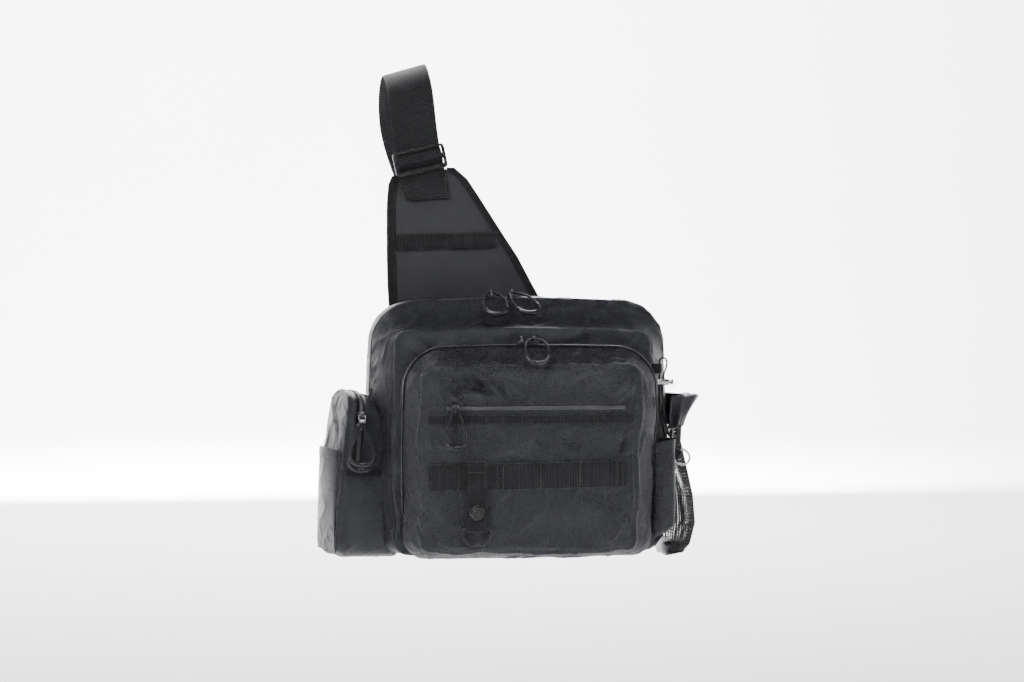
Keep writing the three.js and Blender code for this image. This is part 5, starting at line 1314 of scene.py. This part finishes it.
def makePanelBand():
    s = panelSize
    share = np.linspace(-0.02, 0.9, 70)
    z = s["foot"] + s["bandRise"] * s["length"] + s["bandSlope"] * (share - 0.5)
    x = s["left"] + s["base"] * share
    rise = (z - s["foot"]) / s["length"]
    low, high = (np.interp(rise, panelRows[:, 0], panelRows[:, k]) * s["base"] + s["left"] for k in (1, 2))
    keep = (x > low + s["binding"] - 0.5) & (x < high - s["binding"] + 0.5)
    at = np.column_stack([x, panelFrontAt(z) - 0.5 - s["bandThickness"] / 2, z])[keep]
    up = unit(np.stack([0 * x, panelFrontAt(z + 1) - panelFrontAt(z), 0 * x + 1], 1))[keep]
    out = np.tile([0.0, -1, 0], (len(at), 1))
    band("panelBandWebbing", at, up, out, s["bandWidth"], s["bandThickness"], finishes["webbing"], "webbing",
         ["panel_band"], 16)
    k = len(at) // 2
    column = at[k] + up[k] * np.linspace(-8, 8, 12)[:, None] + out[k] * 0.8
    rows = [stitchPoints(column, np.tile(out[k], (12, 1)), 1.9, 2.2, 0.7)]
    rows += [stitchPoints(at + out * 0.7 + up * t * 7.6, out, 3.0) for t in (-1, 1)]
    return rows


# Shoulder strap: patch, weave through the buckle, over the shoulder, round the chest to the bag

strapSize = {"width": 48, "thickness": 1.6, "glide": (19, -70.7, -96), "tilt": 12.4, "glideHeight": 26,
             "mid": 3.5,
             "top": 2.5, "foot": 5, "glideThickness": 2.6, "patch": 30, "anchorZ": -456, "anchorThickness": 2.4}
strapRows = [
    ((14, -58, -60), (-0.05, -0.95, 0.3)), ((11, -40, -20), (-0.2, -0.7, 0.68)), ((8, 0, 3), (-0.28, 0, 0.96)),
    ((8, 42, -22), (-0.15, 0.7, 0.7)), ((14, 72, -62), (0, 0.95, 0.3)), ((40, 110, -125), (-0.05, 0.97, 0.25)),
    ((80, 142, -195), (0, 1, 0.15)), ((130, 158, -265), (0, 1, 0)), ((190, 150, -330), (0.25, 0.97, 0)),
    ((250, 112, -385), (0.6, 0.8, 0)), ((292, 55, -424), (0.92, 0.38, 0)), ((305, 2, -440), (1, 0, 0)),
    ((299, -29, -447), (0.93, -0.37, 0)),
]


def strapStations():
    s = strapSize
    tilt = math.radians(s["tilt"])
    u, v = np.array([math.cos(tilt), 0, math.sin(tilt)]), np.array([-math.sin(tilt), 0, math.cos(tilt)])
    out = np.array([0.0, -1, 0])
    lift = s["glideThickness"] / 2 + s["thickness"] / 2 + 1
    centre, half = np.array(s["glide"], float), s["glideHeight"] / 2
    patchLift = 0.6 + panelSize["bindingThickness"] + s["thickness"] / 2
    at, across, facing = [], [], []
    for below, turn in ((half + s["patch"], 0.06), (half + 0.5 * s["patch"], 0.14)):
        p = centre - v * below
        side = np.array([math.cos(turn), 0, math.sin(turn)])
        p[1] = panelFrontAt(p[2] - s["width"] / 2 * side[2]) - patchLift
        at.append(p)
        across.append(side)
        facing.append(out)
    for high, side in ((-half, -1), (-half + s["foot"] - 0.5, -1), (-s["mid"] / 2 + 0.3, 1),
                       (s["mid"] / 2 - 0.3, 1),
                       (half - s["top"] - 0.5, -1), (half + 1, -1)):
        at.append(centre + v * high + out * side * lift)
        across.append(u)
        facing.append(out)
    return np.array(at), np.array(across), np.array(facing)


def anchorPoints():
    s = strapSize
    rows = np.array([(9, 0), (22, 0.3), (31, 6), (40, 18)])
    x = bodySize["right"] - s["width"] / 2 + rows[:, 0]
    y = bodySize["rear"] + sewGap + s["anchorThickness"] / 2 + rows[:, 1]
    return np.column_stack([x, y, np.full(4, s["anchorZ"])])


def makeStrap():
    s = strapSize
    at, across, _ = strapStations()
    anchor = anchorPoints()
    anchorOut = np.array([0.8, -0.6, 0])
    lapLift = s["anchorThickness"] / 2 + sewGap + s["thickness"] / 2
    lap = anchor[[3, 2]] - anchorOut * lapLift
    loose = np.vstack([at[-1:], [row[0] for row in strapRows], lap])
    outs = unit(np.vstack([[0, -1, 0], [row[1] for row in strapRows], anchorOut, anchorOut]))
    count = (len(loose) - 1) * 26 + 1
    path = centripetal(loose, count)
    k = np.linspace(0, len(loose) - 1, count)
    facingLoose = unit(np.stack([np.interp(k, np.arange(len(outs)), outs[:, c]) for c in range(3)], 1))
    along = unit(np.gradient(path, axis=0))
    acrossLoose = -unit(np.cross(facingLoose, along))
    outLoose = -unit(np.cross(along, acrossLoose))
    front = centripetal(at, 90)
    share = np.linspace(0, len(at) - 1, 90)
    frontAcross = unit(np.stack([np.interp(share, np.arange(len(at)), across[:, c]) for c in range(3)], 1))
    frontOut = unit(np.cross(frontAcross, -unit(np.gradient(front, axis=0))))
    frontOut *= np.where(frontOut[:, 1:2] > 0, -1, 1)
    every = [np.vstack([front[:-1], path]), np.vstack([frontAcross[:-1], acrossLoose]),
             np.vstack([frontOut[:-1], outLoose])]
    signs = np.sign(np.sum(every[1] * np.roll(every[1], 1, 0), 1))
    signs[0] = 1
    every[1] = every[1] * np.cumprod(signs)[:, None]
    band("shoulderStrapWebbing", *every, s["width"], s["thickness"], finishes["webbing"], "webbing",
         ["shoulder_strap"], 26)
    patch = front[:34] + frontOut[:34] * 0.9
    seam = s["width"] / 2 - 3.5
    rows = [stitchPoints(patch + frontAcross[:34] * k, frontOut[:34], 2.8) for k in (-seam, seam)]
    for k in (3, 9, 28):
        line = patch[k] + frontAcross[k] * np.linspace(-seam, seam, 20)[:, None]
        rows.append(stitchPoints(line, np.tile(frontOut[k], (20, 1)), 2.6))
    return rows


def makeAnchor():
    s = strapSize
    at = centripetal(anchorPoints(), 40)
    along = unit(np.gradient(at, axis=0))
    across = np.tile([0.0, 0, 1], (40, 1))
    out = np.cross(along, across)
    band("strapAnchorCloth", at, across, out, s["width"] + 8, s["anchorThickness"], finishes["bodyNylon"],
         "body_cloth", ["strap_anchor"], 20)


# Floor, backdrop and light

stageSize = {"floor": -900, "radius": 7500, "bend": 2500, "height": 7000, "sides": 96}


def makeStage():
    # Round pale floor that bends up into the backdrop by a quarter turn
    s = stageSize
    turn = np.linspace(0, math.pi / 2, 24)
    away = np.concatenate([[1], s["radius"] + s["bend"] * np.sin(turn), [s["radius"] + s["bend"]]])[:, None]
    z = np.concatenate([[s["floor"]], s["floor"] + s["bend"] * (1 - np.cos(turn)), [s["floor"] + s["height"]]])
    angle = np.linspace(0, 2 * math.pi, s["sides"], endpoint=False)[None]
    height = np.broadcast_to(z[:, None], (len(z), s["sides"]))
    points = np.stack([away * np.cos(angle), away * np.sin(angle), height], -1)
    faces, _ = gridFaces(len(z), s["sides"], False, True)
    mesh = bpy.data.meshes.new("studioSweep")
    mesh.from_pydata((points.reshape(-1, 3) * mm).tolist(), [], faces.tolist())
    mesh.shade_smooth()
    paper = bpy.data.materials.new("studioPaper")
    paper.use_nodes = True
    tree = paper.node_tree
    coords = addNode(tree, "ShaderNodeTexCoord").outputs["Object"]
    grain = addNode(tree, "ShaderNodeTexNoise", {"Vector": coords, "Scale": 2.0}).outputs["Fac"]
    tone = addNode(tree, "ShaderNodeMapRange", {0: grain, 3: 0.9, 4: 0.94}).outputs[0]
    tree.links.new(tone, tree.nodes["Principled BSDF"].inputs["Base Color"])
    tree.nodes["Principled BSDF"].inputs["Roughness"].default_value = 0.9
    mesh.materials.append(paper)
    sweep = bpy.data.objects.new("studioSweep", mesh)
    bpy.context.scene.collection.objects.link(sweep)


lamps = [
    {"name": "keySoftbox", "at": (-1500, -2200, 1500), "aim": (110, -150, -350), "size": 460, "power": 27},
    {"name": "fillSoftbox", "at": (1900, -2100, 500), "aim": (110, -150, -350), "size": 700, "power": 3.5},
    {"name": "topSoftbox", "at": (100, -700, 1700), "aim": (110, -150, -350), "size": 500, "power": 14},
    {"name": "backdropSoftbox", "at": (100, 5200, 1200), "aim": (100, 9800, 200), "size": 3600, "power": 1500},
    {"name": "floorSoftbox", "at": (100, 4200, 2600), "aim": (100, 4600, -900), "size": 3600, "power": 700},
]


def makeLights():
    world = bpy.data.worlds.new("studio")
    bpy.context.scene.world = world
    world.use_nodes = True
    sky = world.node_tree.nodes["Background"]
    sky.inputs["Color"].default_value = (0.96, 0.98, 1.0, 1.0)
    sky.inputs["Strength"].default_value = 0.05
    for row in lamps:
        data = bpy.data.lights.new(row["name"], "AREA")
        data.size = row["size"] * mm
        data.energy = row["power"]
        lamp = bpy.data.objects.new(row["name"], data)
        lamp.location = Vector(row["at"]) * mm
        aim = Vector(row["aim"]) * mm - lamp.location
        lamp.rotation_euler = aim.to_track_quat("-Z", "Y").to_euler()
        bpy.context.scene.collection.objects.link(lamp)


makeCamera()
makeStage()
makeLights()
print("camera, stage and lights made")
makeDrawcord(makeLock())
print("drawcord made")
makeBody()
zipRun("mainZipTape", bodyForm, bodySize["zipDepth"], *bodyZipRange(), ["main_zip"])
print("body made")
makeFrontPocket()
zipRun("pocketZipTape", pocketForm, pocketSize["zipDepth"], *pocketZipRange(), ["front_pocket_zip"])
makeFaceBands()
makeRingStrap()
print("front pocket made")
for row in pulls:
    makePull(row)
makeSidePocket()
zipRun("sideZipTape", sideForm, sideSize["zipDepth"], *sideZipRange(), ["side_zip"])
makeSideHardware()
print("side pocket made")
makeNet()
makeCollar()
makeSheath()
makeSideRing()
print("right side made")
makePanel()
panelStitches = makeBinding("leftBindingTape", 1, 1, "panel_binding_left")
panelStitches += makeBinding("rightBindingTape", 2, -1, "panel_binding_right")
panelStitches += makePanelBand() + makeStrap()
stitches("panelStitches", panelStitches)
makeAnchor()
print("shoulder made")
for key in ("main_left", "main_right", "front_pocket", "front_pocket_spare", "panel", "side_upper",
            "side_lower"):
    roundedCopy(key + "SliderBody", key + "_slider", finishes["gunmetal"], 0.3)
roundedCopy("ferruleBody", "side_ferrule", finishes["gunmetal"], 0.3)
roundedCopy("buckleFrame", "tri_glide", finishes["gunmetal"], 0.7)
print("metal made")
